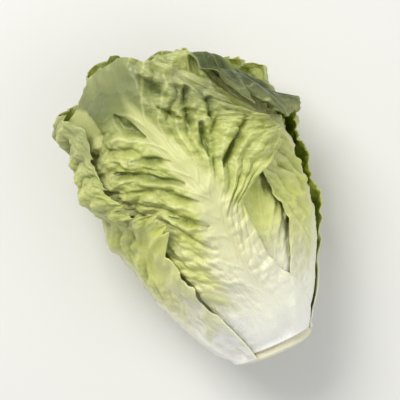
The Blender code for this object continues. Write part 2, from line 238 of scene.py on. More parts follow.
# What sets some of the leaves apart, and the degrees that some are turned by
SPECIAL_LEAVES = {
    "outer_leaf_1": {
        "tip": 0.130,
        "nicks": 2.2,
        "right": (62.0, 58.0, 67.0, 64.0, 45.0, 42.0, 34.0),
    },
    "outer_leaf_2": {
        "tip": 0.122,
        "left": (62.0, 38.0, 38.0, 42.0, 45.0, 46.0, 38.0),
    },
    "outer_leaf_3": {
        "cells": FRONT_CELLS,
        "angle": math.radians(1.0),
        "foot": math.radians(20.0),
        "lean": math.radians(-32.0),
        "crispness": 1.2,
        "creasing": 0.45,
        "vein_slants": (0.20, 0.48),
        "rib_reach": 1.65,
        "right": (46.0, 18.0, 17.0, 56.0, 66.0, 66.0, 60.0),
    },
    "outer_leaf_5": {
        "tip": 0.158,
        "fold": 0.72,
        "lean": math.radians(-30.0),
        "slant": 0.012,
        "left": (62.0, 42.0, 48.0, 46.0, 38.0, 27.0, 23.0),
        "right": (62.0, 40.0, 47.0, 46.0, 38.0, 27.0, 23.0),
    },
    "outer_leaf_8": {"crispness": 0.8, "rib_paleness": 0.25, "youth": 0.10},
}
TURNED_LEAVES = {"outer_leaf_1": -2.0, "outer_leaf_4": 2.0, "outer_leaf_9": -1.0, "inner_leaf_5": 3.0}

# The tip that has rolled outwards, and the flap of it that lies back on the head
ROLL_END = 0.82
ROLL_DEPTH = 0.0075
ROLL_ROWS = 28
FLAP_ROWS = 40
FLAP_LENGTH = 0.017
FLAP_TAPER = 0.1
FLAP_ROUNDING = 0.5
FLAP_NICKS = 0.35
FLAP_NICK_COUNT = 6.0
FLAP_WAVE_HEIGHT = 0.0032
FLAP_WAVES = ((5.0, 1.6, 0.3, "flap waves"), (11.0, 3.0, 0.3, "fine flap waves"))
FLAP_FOLDS = 0.5
FLAP_BULGE = 0.0042

# The table on which the head's outside is kept, as a radius for each angle and station
TABLE_ANGLES = 360
TABLE_STATIONS = 208
TABLE_STEP = 0.00075
TABLE_END = TABLE_STATIONS - 1.001
STATIONS = np.arange(TABLE_STATIONS) * TABLE_STEP
SMOOTHING_ROUND = 190
SMOOTHING_ALONG = 120
TIGHT_FOOT = (0.004, 0.030)
FOOT_LOOSENESS = 0.1

# The folds between a leaf's side veins, with the least and the most of a fold's depth, start and length.
# A drift is given by its lumps across and along, how strong it is, and the name of its draw
FOLD_COUNT = 11.5
SPARE_FOLDS = 8
FIRST_FOLD = 6.0
LEAST_FOLD = ((0.4,), (0.06,), (0.2,))
MOST_FOLD = ((1.0,), (0.36,), (0.7,))
FOLD_START_FADE = 0.12
FOLD_END_FADE = 0.2
FOLD_SIDE_SHIFT = 9.0
FOLD_EVENNESS = 0.2
FOLD_DRIFT = 0.32
FOLD_DRIFTS = ((3.0, 8.0, 1.0, "fold drift"), (8.0, 17.0, 0.5, "fine fold drift"))
FOLD_SINK = 0.45
FOLD_SHARPNESS = 3.5
SWELL_SIZE = 0.026
SWELL_LEVEL = 0.85
SWELL_SHARE = 0.4
VEIN_CURVE = 0.85
VEIN_WIDTH = 0.07
VEIN_FADE = (0.35, 0.95)
VEINS_FROM = (0.1, 0.3)
# Width of a crease, and the share of painted shade in it
CREASE_WIDTH = 0.12
CREASE_SHADE = 0.5

# Where the relief of a blade starts beside its midrib and over its fleshy foot, and where it fades
RIB_SIDE = (0.03, 0.26)
FLESHY_FOOT = (0.12, 0.42)
MARGIN_FADE = (0.75, 1.0)
MARGIN_CALM = 0.35

# The finer relief: puffs over a fold's width, blisters, and ripples along the low blade
PUFF_SIZE = 0.011
BLISTERS_ALONG = 1.2
BLISTER_GRAIN = 2.4
BLISTER_EDGE = 0.55
BLISTER_JITTER = 0.42
BLISTERS_FROM = (0.05, 0.25)
RIPPLE_SIZE = 0.011
RIPPLE_HEIGHT = 0.0011
RIPPLE_SLANT = 5.0
RIPPLES_ALONG = 3.0
RIPPLE_SIDE = (0.25, 0.6)
RIPPLE_FROM = (0.05, 0.15)
RIPPLE_TO = (0.35, 0.55)
# How much the ripples are lightened, a painted highlight
RIPPLE_HIGHLIGHT = 1.8

# Noise and blisters repeat after this many units
LATTICE = 64

# Where a leaf's blade is smooth: u, v, and how far the patch reaches in each
SMOOTH_PATCHES = {
    "outer_leaf_1": ((0.75, 0.36, 0.35, 0.14),),
    "outer_leaf_3": ((-0.25, 0.95, 0.60, 0.14),),
}
SMOOTH_LEVEL = 0.8
SMOOTHED_BLISTERS = 0.7
SMOOTHED_VEINS = 0.6
SMOOTH_EDGE = (0.5, 1.2)

# Deep slots between the folds of the front leaf: u and v of both ends, then half the width and the depth
SLOTS = {
    "outer_leaf_3": (
        (0.31, 0.93, 0.40, 0.86, 0.0036, 0.0026),
        (-0.21, 0.84, -0.10, 0.75, 0.0015, 0.0046),
        (0.70, 0.92, 0.30, 0.70, 0.0013, 0.0042),
        (0.84, 0.90, 0.57, 0.74, 0.0010, 0.0034),
        (0.47, 0.735, 0.24, 0.61, 0.0012, 0.0040),
        (0.30, 0.56, 0.62, 0.63, 0.0010, 0.0034),
        (0.24, 0.82, 0.33, 0.76, 0.0011, 0.0028),
        (0.60, 0.63, 0.80, 0.72, 0.0009, 0.0028),
        (-0.36, 0.70, -0.07, 0.65, 0.0012, 0.0038),
        (-0.58, 0.69, -0.13, 0.57, 0.0014, 0.0046),
        (-0.33, 0.55, -0.13, 0.505, 0.0010, 0.0028),
        (-0.52, 0.47, -0.17, 0.42, 0.0012, 0.0030),
    ),
}
SLOT_RADIUS = 0.042
SLOT_ROUNDNESS = 1.3
SLOT_LIP = 0.16
SLOT_LIP_PLACE = 2.2
SLOT_WANDER = 0.0008
SLOT_WANDER_SIZE = 0.005
SLOT_SHIFT = 30.0
SLOT_END_WIDTH = 0.35
SLOT_BELLY = 0.95
# The share of painted shade in a slot
SLOT_SHADE = 0.8

# Seeds of a leaf's noise and draws, to which the leaf adds its own order
SEEDS = {
    "folds": 40,
    "tone": 60,
    "fold drift": 90,
    "blisters": 100,
    "fine fold drift": 130,
    "puffs": 150,
    "grain": 200,
    "ripples": 250,
    "swells": 300,
    "crisping": 400,
    "nicks": 500,
    "long nicks": 540,
    "fine nicks": 560,
    "tip nicks": 580,
    "slots": 620,
    "rib ridges": 700,
    "flap nicks": 800,
    "flap waves": 820,
    "fine flap waves": 840,
}

# What the marks on a leaf do to its colour, as shares of the pale or the dark that is mixed in. The ridges'
# pale is a painted highlight, and the inner face's dark is painted shade
NET_PALENESS = 0.09
BLISTER_DARKENING = 0.22
VEIN_PALENESS = 0.6
RIDGE_HIGHLIGHT = 0.42
MARGIN_PALENESS = 0.5
COVERED_PALENESS = 0.6
STRAND_PALENESS = 0.30
INNER_FACE_SHADE = 1.0

# Depth of the fine grain, how far apart the leaves' grain is taken, and, in millimetres, how far the net of
# small veins wanders
BLADE_GRAIN = 0.00018
RIB_GRAIN = 0.0005
STEM_GRAIN = 0.0003
LEAF_SHIFT = 0.05
NET_DRIFT = 3.0

# Each kind of leaf: its finish, how wet it is, and the colours of its blade and midrib from base to tip
LEAF_LOOKS = {
    "heart_leaf": (
        "heart_leaf_yellow",
        0.1,
        ((0.15, "base"), (0.4, "heart"), (0.75, "heart"), (1.0, "low")),
        ((0.1, "rib_base"), (0.8, "rib_top")),
    ),
    "inner_leaf": (
        "inner_leaf_green",
        0.1,
        ((0.12, "base"), (0.35, "heart"), (0.65, "low"), (1.0, "middle")),
        ((0.1, "rib_base"), (0.8, "rib_top")),
    ),
    "outer_leaf": (
        "outer_leaf_green",
        0.12,
        (
            (0.10, "rib_base"), (0.18, "rib_low"), (0.25, "base"), (0.35, "low"),
            (0.52, "middle"), (0.68, "middle"), (0.88, "top"), (1.0, "tip"),
        ),
        ((0.05, "rib_base"), (0.34, "rib_low"), (0.62, "rib_top"), (1.0, "rib_top")),
    ),
}

# The stage. A place is given as right, up and high in the picture
PICTURE_TURN = math.radians(-24.0)
HEAD_MIDDLE = Vector((-0.0035, 0.0, 0.045))
FLOOR_SIZE = 6.0
KEY_PLACE = (-0.42, 0.55, 0.85)
KEY_SIZE = 0.55
KEY_COLOUR = (1.0, 0.985, 0.96)
FILL_PLACE = (0.7, -0.3, 0.6)
FILL_SIZE = 0.9
FILL_COLOUR = (0.97, 0.985, 1.0)
SKY_COLOUR = (0.95, 0.97, 1.0)
SENSOR_WIDTH = 36.0


def linear(*display):
    """Scene-linear values of a colour given as red, green and blue from 0 to 255, as a display shows them."""
    shares = [value / 255.0 for value in display]
    return tuple(s / 12.92 if s <= 0.04045 else ((s + 0.055) / 1.055) ** 2.4 for s in shares)


def ease(low, high, x):
    """0 below low, 1 above high, and an S curve between."""
    t = np.clip((x - low) / (high - low), 0.0, 1.0)
    return t * t * (3.0 - 2.0 * t)


def eased_table(x, places, values):
    """Reads a table of values with an S curve from each place to the next."""
    result = np.full(np.shape(x), values[0], float)
    for low, high, step in zip(places, places[1:], np.diff(values)):
        result = result + step * ease(low, high, x)
    return result


def noise(x, y, seed):
    """Smooth noise from -1 to 1, with a lump or a hollow to each unit of x and y."""
    heights = np.random.default_rng(seed).uniform(-1.0, 1.0, (LATTICE, LATTICE))
    i, j = np.floor(x).astype(int), np.floor(y).astype(int)
    a, b = ease(0.0, 1.0, x - i), ease(0.0, 1.0, y - j)
    corner = [[heights[(i + k) % LATTICE, (j + m) % LATTICE] for m in (0, 1)] for k in (0, 1)]
    low = corner[0][0] + a * (corner[1][0] - corner[0][0])
    high = corner[0][1] + a * (corner[1][1] - corner[0][1])
    return low + b * (high - low)


def blisters(x, y, seed):
    """The blade between the small veins: 0 on a vein and 1 in the middle of a blister, one to each unit."""
    jitter = np.random.default_rng(seed).uniform(-BLISTER_JITTER, BLISTER_JITTER, (2, LATTICE, LATTICE))
    i, j = np.floor(x).astype(int), np.floor(y).astype(int)
    distances = []
    for k in (-1, 0, 1):
        for m in (-1, 0, 1):
            shift_x, shift_y = jitter[:, (i + k) % LATTICE, (j + m) % LATTICE]
            distances.append(np.hypot(x - i - k - 0.5 - shift_x, y - j - m - 0.5 - shift_y))
    nearest = np.partition(np.array(distances), 1, axis=0)
    return ease(0.0, BLISTER_EDGE, nearest[1] - nearest[0])


@dataclass
class Leaf:
    """What sets one leaf apart from the next. Below 1, fold is the share of it that comes before its roll."""

    name: str
    cells: tuple
    order: int
    angle: float
    base: float
    tip: float
    tip_radius: float
    spread: float
    lean: float
    flare: float
    lift: float
    wave_turns: float
    wave_phase: float
    crispness: float
    left: tuple = OUTLINE_DEGREES
    right: tuple = OUTLINE_DEGREES
    foot: float = 0.0
    slant: float = 0.0
    fold: float = 1.0
    vein_slants: tuple = (0.27, 0.27)
    creasing: float = 1.0
    rib_paleness: float = 1.0
    nicks: float = 1.0
    youth: float = 0.0
    rib_reach: float = RIB_REACH

    def seed(self, draw):
        """The leaf's own seed for one of the draws in SEEDS."""
        return SEEDS[draw] + self.order

    def noise(self, draw, x, y):
        return noise(x, y, self.seed(draw))


def leaf_plan(seed):
    """The leaves from the outermost in, each a golden angle on from the last."""
    draw = np.random.default_rng(seed)
    kinds = (("outer_leaf", OUTER_LEAVES), ("inner_leaf", INNER_LEAVES), ("heart_leaf", HEART_LEAVES))
    grids = {"outer_leaf": COVERED_CELLS, "inner_leaf": INNER_CELLS, "heart_leaf": HEART_CELLS}
    leaves = []
    for kind, count in kinds:
        for number in range(1, count + 1):
            order = len(leaves)
            inwards = order / (LEAF_COUNT - 1)
            calm = 1.0 - INNER_CALM * inwards
            leaf = Leaf(
                name=f"{kind}_{number}",
                cells=OUTER_CELLS if order < WELL_SHOWN_LEAVES else grids[kind],
                order=order,
                angle=FIRST_ANGLE - order * GOLDEN_ANGLE + math.radians(draw.uniform(*ANGLE_DRAW)),
                base=FIRST_BASE + order * BASE_STEP,
                tip=TIP_STATION - order * TIP_DROP + draw.uniform(*TIP_DRAW),
                tip_radius=OUTER_TIP_RADIUS + (HEART_TIP_RADIUS - OUTER_TIP_RADIUS) * inwards,
                spread=1.0 - INNER_NARROWING * inwards,
                lean=math.radians(draw.uniform(*LEAN_DRAW)),
                flare=draw.uniform(*FLARE_DRAW) * calm,
                lift=draw.uniform(*LIFT_DRAW) * calm,
                wave_turns=draw.uniform(*WAVE_DRAW),
                wave_phase=draw.uniform(0.0, TURN),
                crispness=calm * (1.0 if order < WELL_SHOWN_LEAVES else COVERED_CRISPNESS),
            )
            # The solids draw their folds here, and this keeps the next leaf's draws the same as theirs
            draw.uniform(size=SOLID_FOLD_DRAWS)
            leaf = replace(leaf, **SPECIAL_LEAVES.get(leaf.name, {}))
            leaf.angle += math.radians(TURNED_LEAVES.get(leaf.name, 0.0))
            leaves.append(leaf)
    return leaves


def core_radius(station):
    """Radius of the heart's solid middle at a station, 0 beyond its ends."""
    share = np.clip((station - CORE_START) / (CORE_END - CORE_START), 0.0, 1.0)
    return CORE_RADIUS * np.sin(math.pi * share**CORE_DROOP).clip(0.0) ** CORE_FULLNESS


def stem_radius(station):
    taper = np.clip((station - STEM_SHOULDER) / (STEM_LENGTH - STEM_SHOULDER), 0.0, 1.0)
    return STEM_RADIUS + (STEM_TOP_RADIUS - STEM_RADIUS) * taper


def bare_head():
    """The table before the first leaf is laid: the stem and the heart's solid middle."""
    bare = np.where(STATIONS < STEM_LENGTH, stem_radius(STATIONS), core_radius(STATIONS) + CORE_FOLD_DEPTH)
    return np.tile(bare, (TABLE_ANGLES, 1))


def table_place(angle, station):
    """Where a point falls between the table's cells."""
    across = (angle / TURN * TABLE_ANGLES) % TABLE_ANGLES
    along = np.clip(station / TABLE_STEP, 0.0, TABLE_END)
    return across, along


def read_table(table, angle, station):
    """The table's values at some points, from the four cells round each."""
    across, along = table_place(angle, station)
    i, j = across.astype(int) % TABLE_ANGLES, along.astype(int)
    a, b = across - np.floor(across), along - j
    k = (i + 1) % TABLE_ANGLES
    low = (1 - a) * table[i, j] + a * table[k, j]
    high = (1 - a) * table[i, j + 1] + a * table[k, j + 1]
    return (1 - b) * low + b * high


def raise_table(table, angle, station, radius):
    """Raises the table to a sheet of points, and to points halfway between them."""
    for shift_across in (0, 1):
        for shift_along in (0, 1):
            sheet = [halfway(values, shift_across, shift_along) for values in (angle, station, radius)]
            across, along = table_place(*sheet[:2])
            for i in (np.floor(across), np.ceil(across)):
                for j in (np.floor(along), np.ceil(along)):
                    cells = (i.astype(int) % TABLE_ANGLES, j.astype(int))
                    np.maximum.at(table, cells, sheet[2])


def draped(floor):
    """A smooth sheet that lies on a table of radii and never dips into it. It is tight round the foot."""
    sheet = floor.copy()
    loose = FOOT_LOOSENESS + (1.0 - FOOT_LOOSENESS) * ease(*TIGHT_FOOT, STATIONS)
    for turn in range(SMOOTHING_ROUND):
        soft = (np.roll(sheet, 1, 0) + 2 * sheet + np.roll(sheet, -1, 0)) / 4
        if turn < SMOOTHING_ALONG:
            wide = np.pad(soft, ((0, 0), (1, 1)), mode="edge")
            soft = (wide[:, :-2] + 2 * soft + wide[:, 2:]) / 4
        sheet = np.maximum(floor, sheet + loose * (soft - sheet))
    return sheet


def halfway(values, across, along):
    """A grid's values, or those halfway to the next column or row."""
    if across:
        values = (values[1:] + values[:-1]) / 2
    if along:
        values = (values[:, 1:] + values[:, :-1]) / 2
    return values


def half_angle(leaf, u, v):
    """How far the blade reaches from its midrib, on the side that u is on."""
    left = eased_table(v, OUTLINE_SHARE, leaf.left)
    right = eased_table(v, OUTLINE_SHARE, leaf.right)
    return np.radians(np.where(u < 0, left, right)) * leaf.spread


def breadth(leaf, u, v):
    """1 where the blade is broad enough for its full relief, and less where it is narrow."""
    return np.clip(half_angle(leaf, u, v) / FULL_RELIEF_REACH, 0.0, 1.0)


def blade_place(leaf, u, v):
    """Angle and station of a blade's point."""
    lobes = 1.0 + LOBE_DEPTH * np.sin(TURN * leaf.wave_turns * v + leaf.wave_phase)
    foot = leaf.foot * (1.0 - ease(*FOOT_REACH, v))
    lean = leaf.lean * ease(LEAN_START * leaf.fold, leaf.fold, v)
    reach = half_angle(leaf, u, v)
    angle = leaf.angle + foot + lean + reach * lobes * u
    broad = reach / BROAD_REACH
    rise = MARGIN_RISE * broad * np.abs(u) ** RISE_CURVE * ease(*RISE_REACH, v)
    fall = (MARGIN_RISE + TIP_ROUNDING) * broad * np.abs(u) ** FALL_CURVE * ease(*FALL_REACH, v)
    slant = leaf.slant * u * ease(*SLANT_REACH, v)
    return angle, leaf.base + (leaf.tip - leaf.base) * v + rise - fall - slant


def jagged(leaf, u, v):
    """u and v of the blade with its outline nicked and waved, the more the nearer the margin."""
    side = NICK_LEAF_SHIFT * leaf.order + NICK_SIDE_SHIFT * (u < 0)
    waves = sum(strength * leaf.noise(draw, v * count, side) for count, strength, draw in NICKS)
    depth = leaf.nicks * NICK_DEPTH * waves * ease(*NICKED_SIDE, np.abs(u)) * ease(*NICKED_FROM, v)
    across = u * (1.0 + depth)
    if leaf.fold < 1.0:
        return across, v
    tip = leaf.noise("tip nicks", u * TIP_NICKS, np.full_like(u, 0.5))
    return across, v * (1.0 + TIP_NICK_DEPTH * tip * ease(*NICKED_TIP, v))


def folds(leaf, u, v):
    """The folds between the side veins: their height, 0 to 1, a side vein mask and a mask of painted crease
    shade.
    """
    count = int(FOLD_COUNT) + SPARE_FOLDS
    draw = np.random.default_rng(leaf.seed("folds"))
    depth, start, length = draw.uniform(LEAST_FOLD, MOST_FOLD, (3, 2 * count))
    reach = np.abs(u)
    side = (u < 0).astype(int)
    drift = 0.0
    for across, along, strength, name in FOLD_DRIFTS:
        drift = drift + strength * leaf.noise(name, reach * across + FOLD_SIDE_SHIFT * side, v * along)
    slant = np.array(leaf.vein_slants)[1 - side]
    phase = FOLD_COUNT * (v - slant * reach**VEIN_CURVE) + 0.5 * side + FOLD_DRIFT * drift + FIRST_FOLD
    line = np.clip(np.rint(phase).astype(int), 0, count - 1) + count * side
    off_vein = np.abs(phase - np.floor(phase) - 0.5)
    begun = ease(start[line], start[line] + FOLD_START_FADE, reach)
    end = start[line] + length[line]
    shown = leaf.creasing * begun * (1.0 - ease(end, end + FOLD_END_FADE, reach))
    deep = FOLD_EVENNESS + (1.0 - FOLD_EVENNESS) * depth[line] * shown
    height = 1.0 - deep * (2.0 * off_vein) ** FOLD_SHARPNESS
    vein = np.exp(-((off_vein / VEIN_WIDTH) ** 2)) * (1.0 - ease(*VEIN_FADE, reach))
    crease = np.exp(-(((0.5 - off_vein) / CREASE_WIDTH) ** 2)) * shown * depth[line]
    return height, vein, crease


def smoothness(leaf, u, v):
    """1 where a leaf's blade is smooth, as the front leaf's is near its tip, and 0 where it is folded."""
    smooth = np.zeros(np.shape(u))
    for middle_u, middle_v, reach_u, reach_v in SMOOTH_PATCHES.get(leaf.name, ()):
        off = ((u - middle_u) / reach_u) ** 2 + ((v - middle_v) / reach_v) ** 2
        smooth = np.maximum(smooth, 1.0 - ease(*SMOOTH_EDGE, off))
    return smooth


def slot_place(leaf, u, v):
    """Where a slot's end is on the flat leaf: how far from the midrib and from the base."""
    return np.array((float(rib_places(leaf, np.array(u), v, SLOT_RADIUS)[0]), v * (leaf.tip - leaf.base)))


def slots(leaf, u, v):
    """Depth of the deep slots in a leaf's blade with the lips beside them, and a mask of the slots."""
    depth, mask = np.zeros(np.shape(u)), np.zeros(np.shape(u))
    across, along = rib_places(leaf, u, v, SLOT_RADIUS)[0], v * (leaf.tip - leaf.base)
    wander = leaf.noise("slots", across / SLOT_WANDER_SIZE + SLOT_SHIFT, along / SLOT_WANDER_SIZE)
    for u1, v1, u2, v2, width, deep in SLOTS.get(leaf.name, ()):
        start = slot_place(leaf, u1, v1)
        way = slot_place(leaf, u2, v2) - start
        share = ((across - start[0]) * way[0] + (along - start[1]) * way[1]) / (way @ way)
        inside = np.clip(share, 0.0, 1.0)
        off = np.hypot(across - start[0] - inside * way[0], along - start[1] - inside * way[1])
        widths = SLOT_END_WIDTH + SLOT_BELLY * np.sin(math.pi * inside)
        off = np.abs(off + SLOT_WANDER * wander) / (width * widths)
        hollow = np.exp(-(off**SLOT_ROUNDNESS))
        lip = np.exp(-((off - SLOT_LIP_PLACE) ** 2))
        depth = np.maximum(depth, deep * hollow) - SLOT_LIP * deep * lip
        mask = np.maximum(mask, hollow)
    return depth, mask


def ripples(leaf, u, v, round_rib):
    """Small ripples beside the foot of the midrib, below the folds."""
    station = v * (leaf.tip - leaf.base)
    across = round_rib / RIPPLE_SIZE + RIPPLE_SLANT * v
    ripple = leaf.noise("ripples", across, RIPPLES_ALONG * station / RIPPLE_SIZE)
    return ripple * ease(*RIPPLE_SIDE, np.abs(u)) * ease(*RIPPLE_FROM, v) * (1.0 - ease(*RIPPLE_TO, v))


def relief(leaf, shape, u, v, round_rib):
    """Height of a blade's folds, puffs, blisters, veins, ripples and slots, with the masks for its finish."""
    height, vein, crease = folds(leaf, u, v)
    smooth = smoothness(leaf, u, v)
    ripple = ripples(leaf, u, v, round_rib)
    slot_depth, slot = slots(leaf, u, v)
    station = v * (leaf.tip - leaf.base)
    beside_rib = ease(*RIB_SIDE, np.abs(u))
    calm = 1.0 - MARGIN_CALM * ease(*MARGIN_FADE, np.abs(u))
    strength = leaf.crispness * beside_rib * ease(*FLESHY_FOOT, v) * calm * breadth(leaf, u, v) ** 1.5
    swell = leaf.noise("swells", round_rib / SWELL_SIZE, station / SWELL_SIZE)
    swell = SWELL_LEVEL + SWELL_SHARE * swell
    folded = shape.fold_height * strength * swell * (height - FOLD_SINK + smooth * (SMOOTH_LEVEL - height))
    puff = blisters(round_rib / PUFF_SIZE + 3.0, station / PUFF_SIZE, leaf.seed("puffs"))
    puffed = shape.puff_height * strength * (puff - 0.5) * (1.0 - smooth)
    size = shape.blister_size
    blister = blisters(round_rib / size, station / size * BLISTERS_ALONG, leaf.seed("blisters"))
    grain = leaf.noise("grain", round_rib / size * BLISTER_GRAIN, station / size * BLISTER_GRAIN)
    blistered = shape.blister_height * (0.3 + 0.7 * blister + 0.25 * grain)
    blistered = blistered * (1.0 - SMOOTHED_BLISTERS * smooth)
    veined = shape.vein_height * vein * ease(*VEINS_FROM, v) * (1.0 - SMOOTHED_VEINS * smooth)
    total = folded + puffed + blistered * beside_rib * ease(*BLISTERS_FROM, v) + veined - slot_depth
    # Lighter on the tops of folds and puffs: a painted highlight
    ridge = (0.6 * height**2 + 0.4 * puff) * np.minimum(strength, 1.0) * (1.0 - smooth) * (1.0 - slot)
    masks = {
        "vein": vein * (1.0 - smooth),
        # Painted shade in the creases and slots
        "crease": np.maximum(CREASE_SHADE * crease * strength * (1.0 - smooth), SLOT_SHADE * slot),
        # Painted highlights on the ridges and ripples
        "ridge": ridge + RIPPLE_HIGHLIGHT * ripple.clip(0.0),
        "blister": blister * (1.0 - smooth),
    }
    return total + RIPPLE_HEIGHT * ripple, masks


def margin_lift(leaf, shape, u, v):
    """How far a free edge stands off the leaf below, in waves with a crisped frill on them."""
    edge = ease(*MARGIN_SIDE, np.abs(u)) * ease(*MARGIN_FROM, v)
    side = np.where(u < 0, MARGIN_SIDE_SHIFT, 0.0)
    wave = 0.5 + 0.5 * np.sin(TURN * MARGIN_WAVES * leaf.wave_turns * v + leaf.wave_phase + side)
    tip = ease(*LIFTED_TIP, v) ** 2
    tip_wave = 0.7 + 0.5 * np.sin(TIP_WAVES * u + leaf.wave_phase)
    crisp = 0.5 + 0.5 * leaf.noise("crisping", v * CRISPS_ALONG, u * CRISPS_ACROSS)
    frilled = np.maximum(edge * breadth(leaf, u, v) ** 2, ease(*FRILLED_TIP, v))
    frill = shape.frill_height * leaf.crispness * crisp * frilled
    return leaf.lift * edge * wave + leaf.flare * tip * tip_wave + frill


def rib_places(leaf, u, v, radius):
    """Distance round the head from the midrib, and that distance as a share of the midrib's half width."""
    round_rib = u * half_angle(leaf, u, v) * radius
    return round_rib, np.abs(round_rib) / eased_table(v, RIB_SHARE, RIB_HALF_WIDTH)


def thickness(leaf, shape, u, v, radius):
    """Thickness of a leaf: a blade with thinner margins, and a fleshy midrib that thins towards the tip."""
    round_rib, off_rib = rib_places(leaf, u, v, radius)
    rib = eased_table(v, RIB_SHARE, RIB_THICKNESS)
    thin = ease(*THIN_MARGIN, np.maximum(np.abs(u), v * v))
    blade = shape.blade_thickness + (shape.margin_thickness - shape.blade_thickness) * thin
    flesh = blade * (1.0 + FOOT_THICKENING * (1.0 - ease(*THICK_FOOT, v)))
    root = RIB_ROOT_SHARE + (1.0 - RIB_ROOT_SHARE) * ease(*RIB_ROOT, v)
    ridge = leaf.noise("rib ridges", round_rib / RIB_RIDGE_WIDTH, v * RIB_RIDGE_TURNS)
    ridges = 1.0 + RIB_RIDGE_HEIGHT * ridge
    return flesh + root * leaf.spread * rib * np.exp(-(off_rib**2)) * ridges


@dataclass
class Blade:
    """A laid leaf. Its stations and radii have the inner face first, and its masks feed its finish."""

    leaf: Leaf
    u: np.ndarray
    v: np.ndarray
    angle: np.ndarray
    stations: np.ndarray
    radii: np.ndarray
    masks: dict


def blade_grid(leaf):
    """u and v of a leaf's grid. Columns crowd to the midrib, and rows to the roll of a rolled tip."""
    across = np.linspace(-1.0, 1.0, leaf.cells[0] + 1)
    rows = leaf.cells[1]
    along = np.linspace(0.0, 1.0, rows + 1)
    if leaf.fold < 1.0:
        ends = (0, rows, rows + ROLL_ROWS, rows + ROLL_ROWS + FLAP_ROWS)
        along = np.interp(np.arange(ends[-1] + 1), ends, (0.0, leaf.fold, ROLL_END, 1.0))
    crowded = np.sign(across) * np.abs(across) ** COLUMN_CROWDING
    return np.meshgrid(crowded, along, indexing="ij")


def lay_leaf(leaf, shape, table):
    """Lays one leaf on the table, and raises the table by it."""
    grid_u, grid_v = blade_grid(leaf)
    u, v = jagged(leaf, grid_u, grid_v)
    laid_v = np.clip(v, 0.0, leaf.fold)
    angle, station = blade_place(leaf, u, laid_v)
    dome = np.sqrt(1.0 - (np.maximum(STATIONS - DOME_START, 0.0) / DOME_REACH).clip(0.0, 1.0) ** 2)
    own = leaf.tip_radius * ease(*OWN_RADIUS_REACH, STATIONS) * dome
    bare = read_table(draped(np.maximum(table + CLEARANCE, own)), angle, station)
    round_rib, off_rib = rib_places(leaf, u, laid_v, bare)
    height, masks = relief(leaf, shape, u, laid_v, round_rib)
    loose = 1.0 - (1.0 - PRESSED_FOLDS) * ease(*PRESSED_SIDE, -np.cos(angle))
    inner = bare + loose * (height + margin_lift(leaf, shape, u, laid_v))
    inner = np.maximum(inner, read_table(table, angle, station) + TOUCHING)
    outer = inner + thickness(leaf, shape, u, laid_v, inner)
    rows = leaf.cells[1] + 1
    raise_table(table, angle[:, :rows], station[:, :rows], outer[:, :rows])
    masks["rib"] = leaf.rib_paleness * np.exp(-((off_rib / leaf.rib_reach) ** 2))
    masks["rib"] *= 1.0 - PALE_RIB_LOSS * ease(*PALE_RIB_END, v)
    masks["edge"] = ease(*PALE_MARGIN, np.maximum(np.abs(grid_u), grid_v))
    masks["along"] = (leaf.base + (leaf.tip - leaf.base) * v) / TIP_STATION - leaf.youth
    return Blade(leaf, u, v, angle, np.stack([station, station]), np.stack([inner, outer]), masks)


def roll_tip(blade, shape, table):
    """Rolls a laid leaf's tip outwards past its fold, and lays it back on the finished head."""
    leaf, u, v = blade.leaf, blade.u, blade.v
    turn = math.pi * np.clip((v - leaf.fold) / (ROLL_END - leaf.fold), 0.0, 1.0)
    beyond = np.clip((v - ROLL_END) / (1.0 - ROLL_END), 0.0, 1.0)
    middle = blade.angle[leaf.cells[0] // 2, leaf.cells[1]]
    at_fold = half_angle(leaf, u, np.full_like(v, leaf.fold))
    angle = middle + (blade.angle - middle) * half_angle(leaf, u, np.clip(v, leaf.fold, 1.0)) / at_fold
    nicks = FLAP_NICKS * leaf.noise("flap nicks", u * FLAP_NICK_COUNT, np.full_like(u, 0.5))
    rounded = 1.0 - FLAP_ROUNDING * np.abs(u) ** 3
    station = blade.stations[0] - FLAP_LENGTH * beyond * (1.0 + FLAP_TAPER * u + nicks) * rounded
    thick = blade.radii[1] - blade.radii[0]
    waves = 0.5
    for across, along, strength, name in FLAP_WAVES:
        waves = waves + strength * leaf.noise(name, u * across, beyond * along + 0.3)
    lying = read_table(draped(table + CLEARANCE), angle, station) + thick
    height, folded = relief(leaf, shape, u, v, rib_places(leaf, u, v, blade.radii[0])[0])
    lying = lying + FLAP_WAVE_HEIGHT * waves * beyond + FLAP_BULGE * np.sin(math.pi * beyond)
    lying = lying + FLAP_FOLDS * (shape.fold_height - height)
    start = blade.radii[0]
    inner_radius = start + (lying - start) * (1.0 - np.cos(turn)) / 2.0
    inner_station = station + ROLL_DEPTH * np.sin(turn)
    outer_radius = inner_radius + thick * np.cos(turn)
    outer_station = inner_station - thick * np.sin(turn)
    stations, radii = np.stack([inner_station, outer_station]), np.stack([inner_radius, outer_radius])
    return replace(blade, angle=angle, stations=stations, radii=radii, masks={**blade.masks, **folded})


def ground_radius(angle, station, axis_height):
    """Radius at which a point would touch the surface that the head lies on."""
    down = np.maximum(-np.cos(angle) * math.cos(AXIS_TILT), LEAST_DOWN)
    return (axis_height + station * math.sin(AXIS_TILT)) / down


def pressed(table):
    """The share of its radius that each part of the head keeps where the head's weight flattens it."""
    angle = np.arange(TABLE_ANGLES)[:, None] * TURN / TABLE_ANGLES
    share = ground_radius(angle, STATIONS[None, :], AXIS_HEIGHT + FLAT_SPOT_DEPTH) / draped(table)
    return (share + 1.0 - np.hypot(share - 1.0, PRESS_SOFTNESS)) / 2.0


def pressed_blade(blade, table, share):
    """A leaf where the head is pressed: its flat spot is level with the surface, its thickness kept."""
    radii = blade.radii * np.stack([read_table(share, blade.angle, station) for station in blade.stations])
    excess = (radii[1] - ground_radius(blade.angle, blade.stations[1], AXIS_HEIGHT)).clip(0.0)
    buried = read_table(table, blade.angle, blade.stations[1]) - blade.radii[1]
    masks = {**blade.masks, "shown": 1.0 - ease(*SHOWN_DEPTH, buried)}
    return replace(blade, radii=radii - excess, masks=masks)


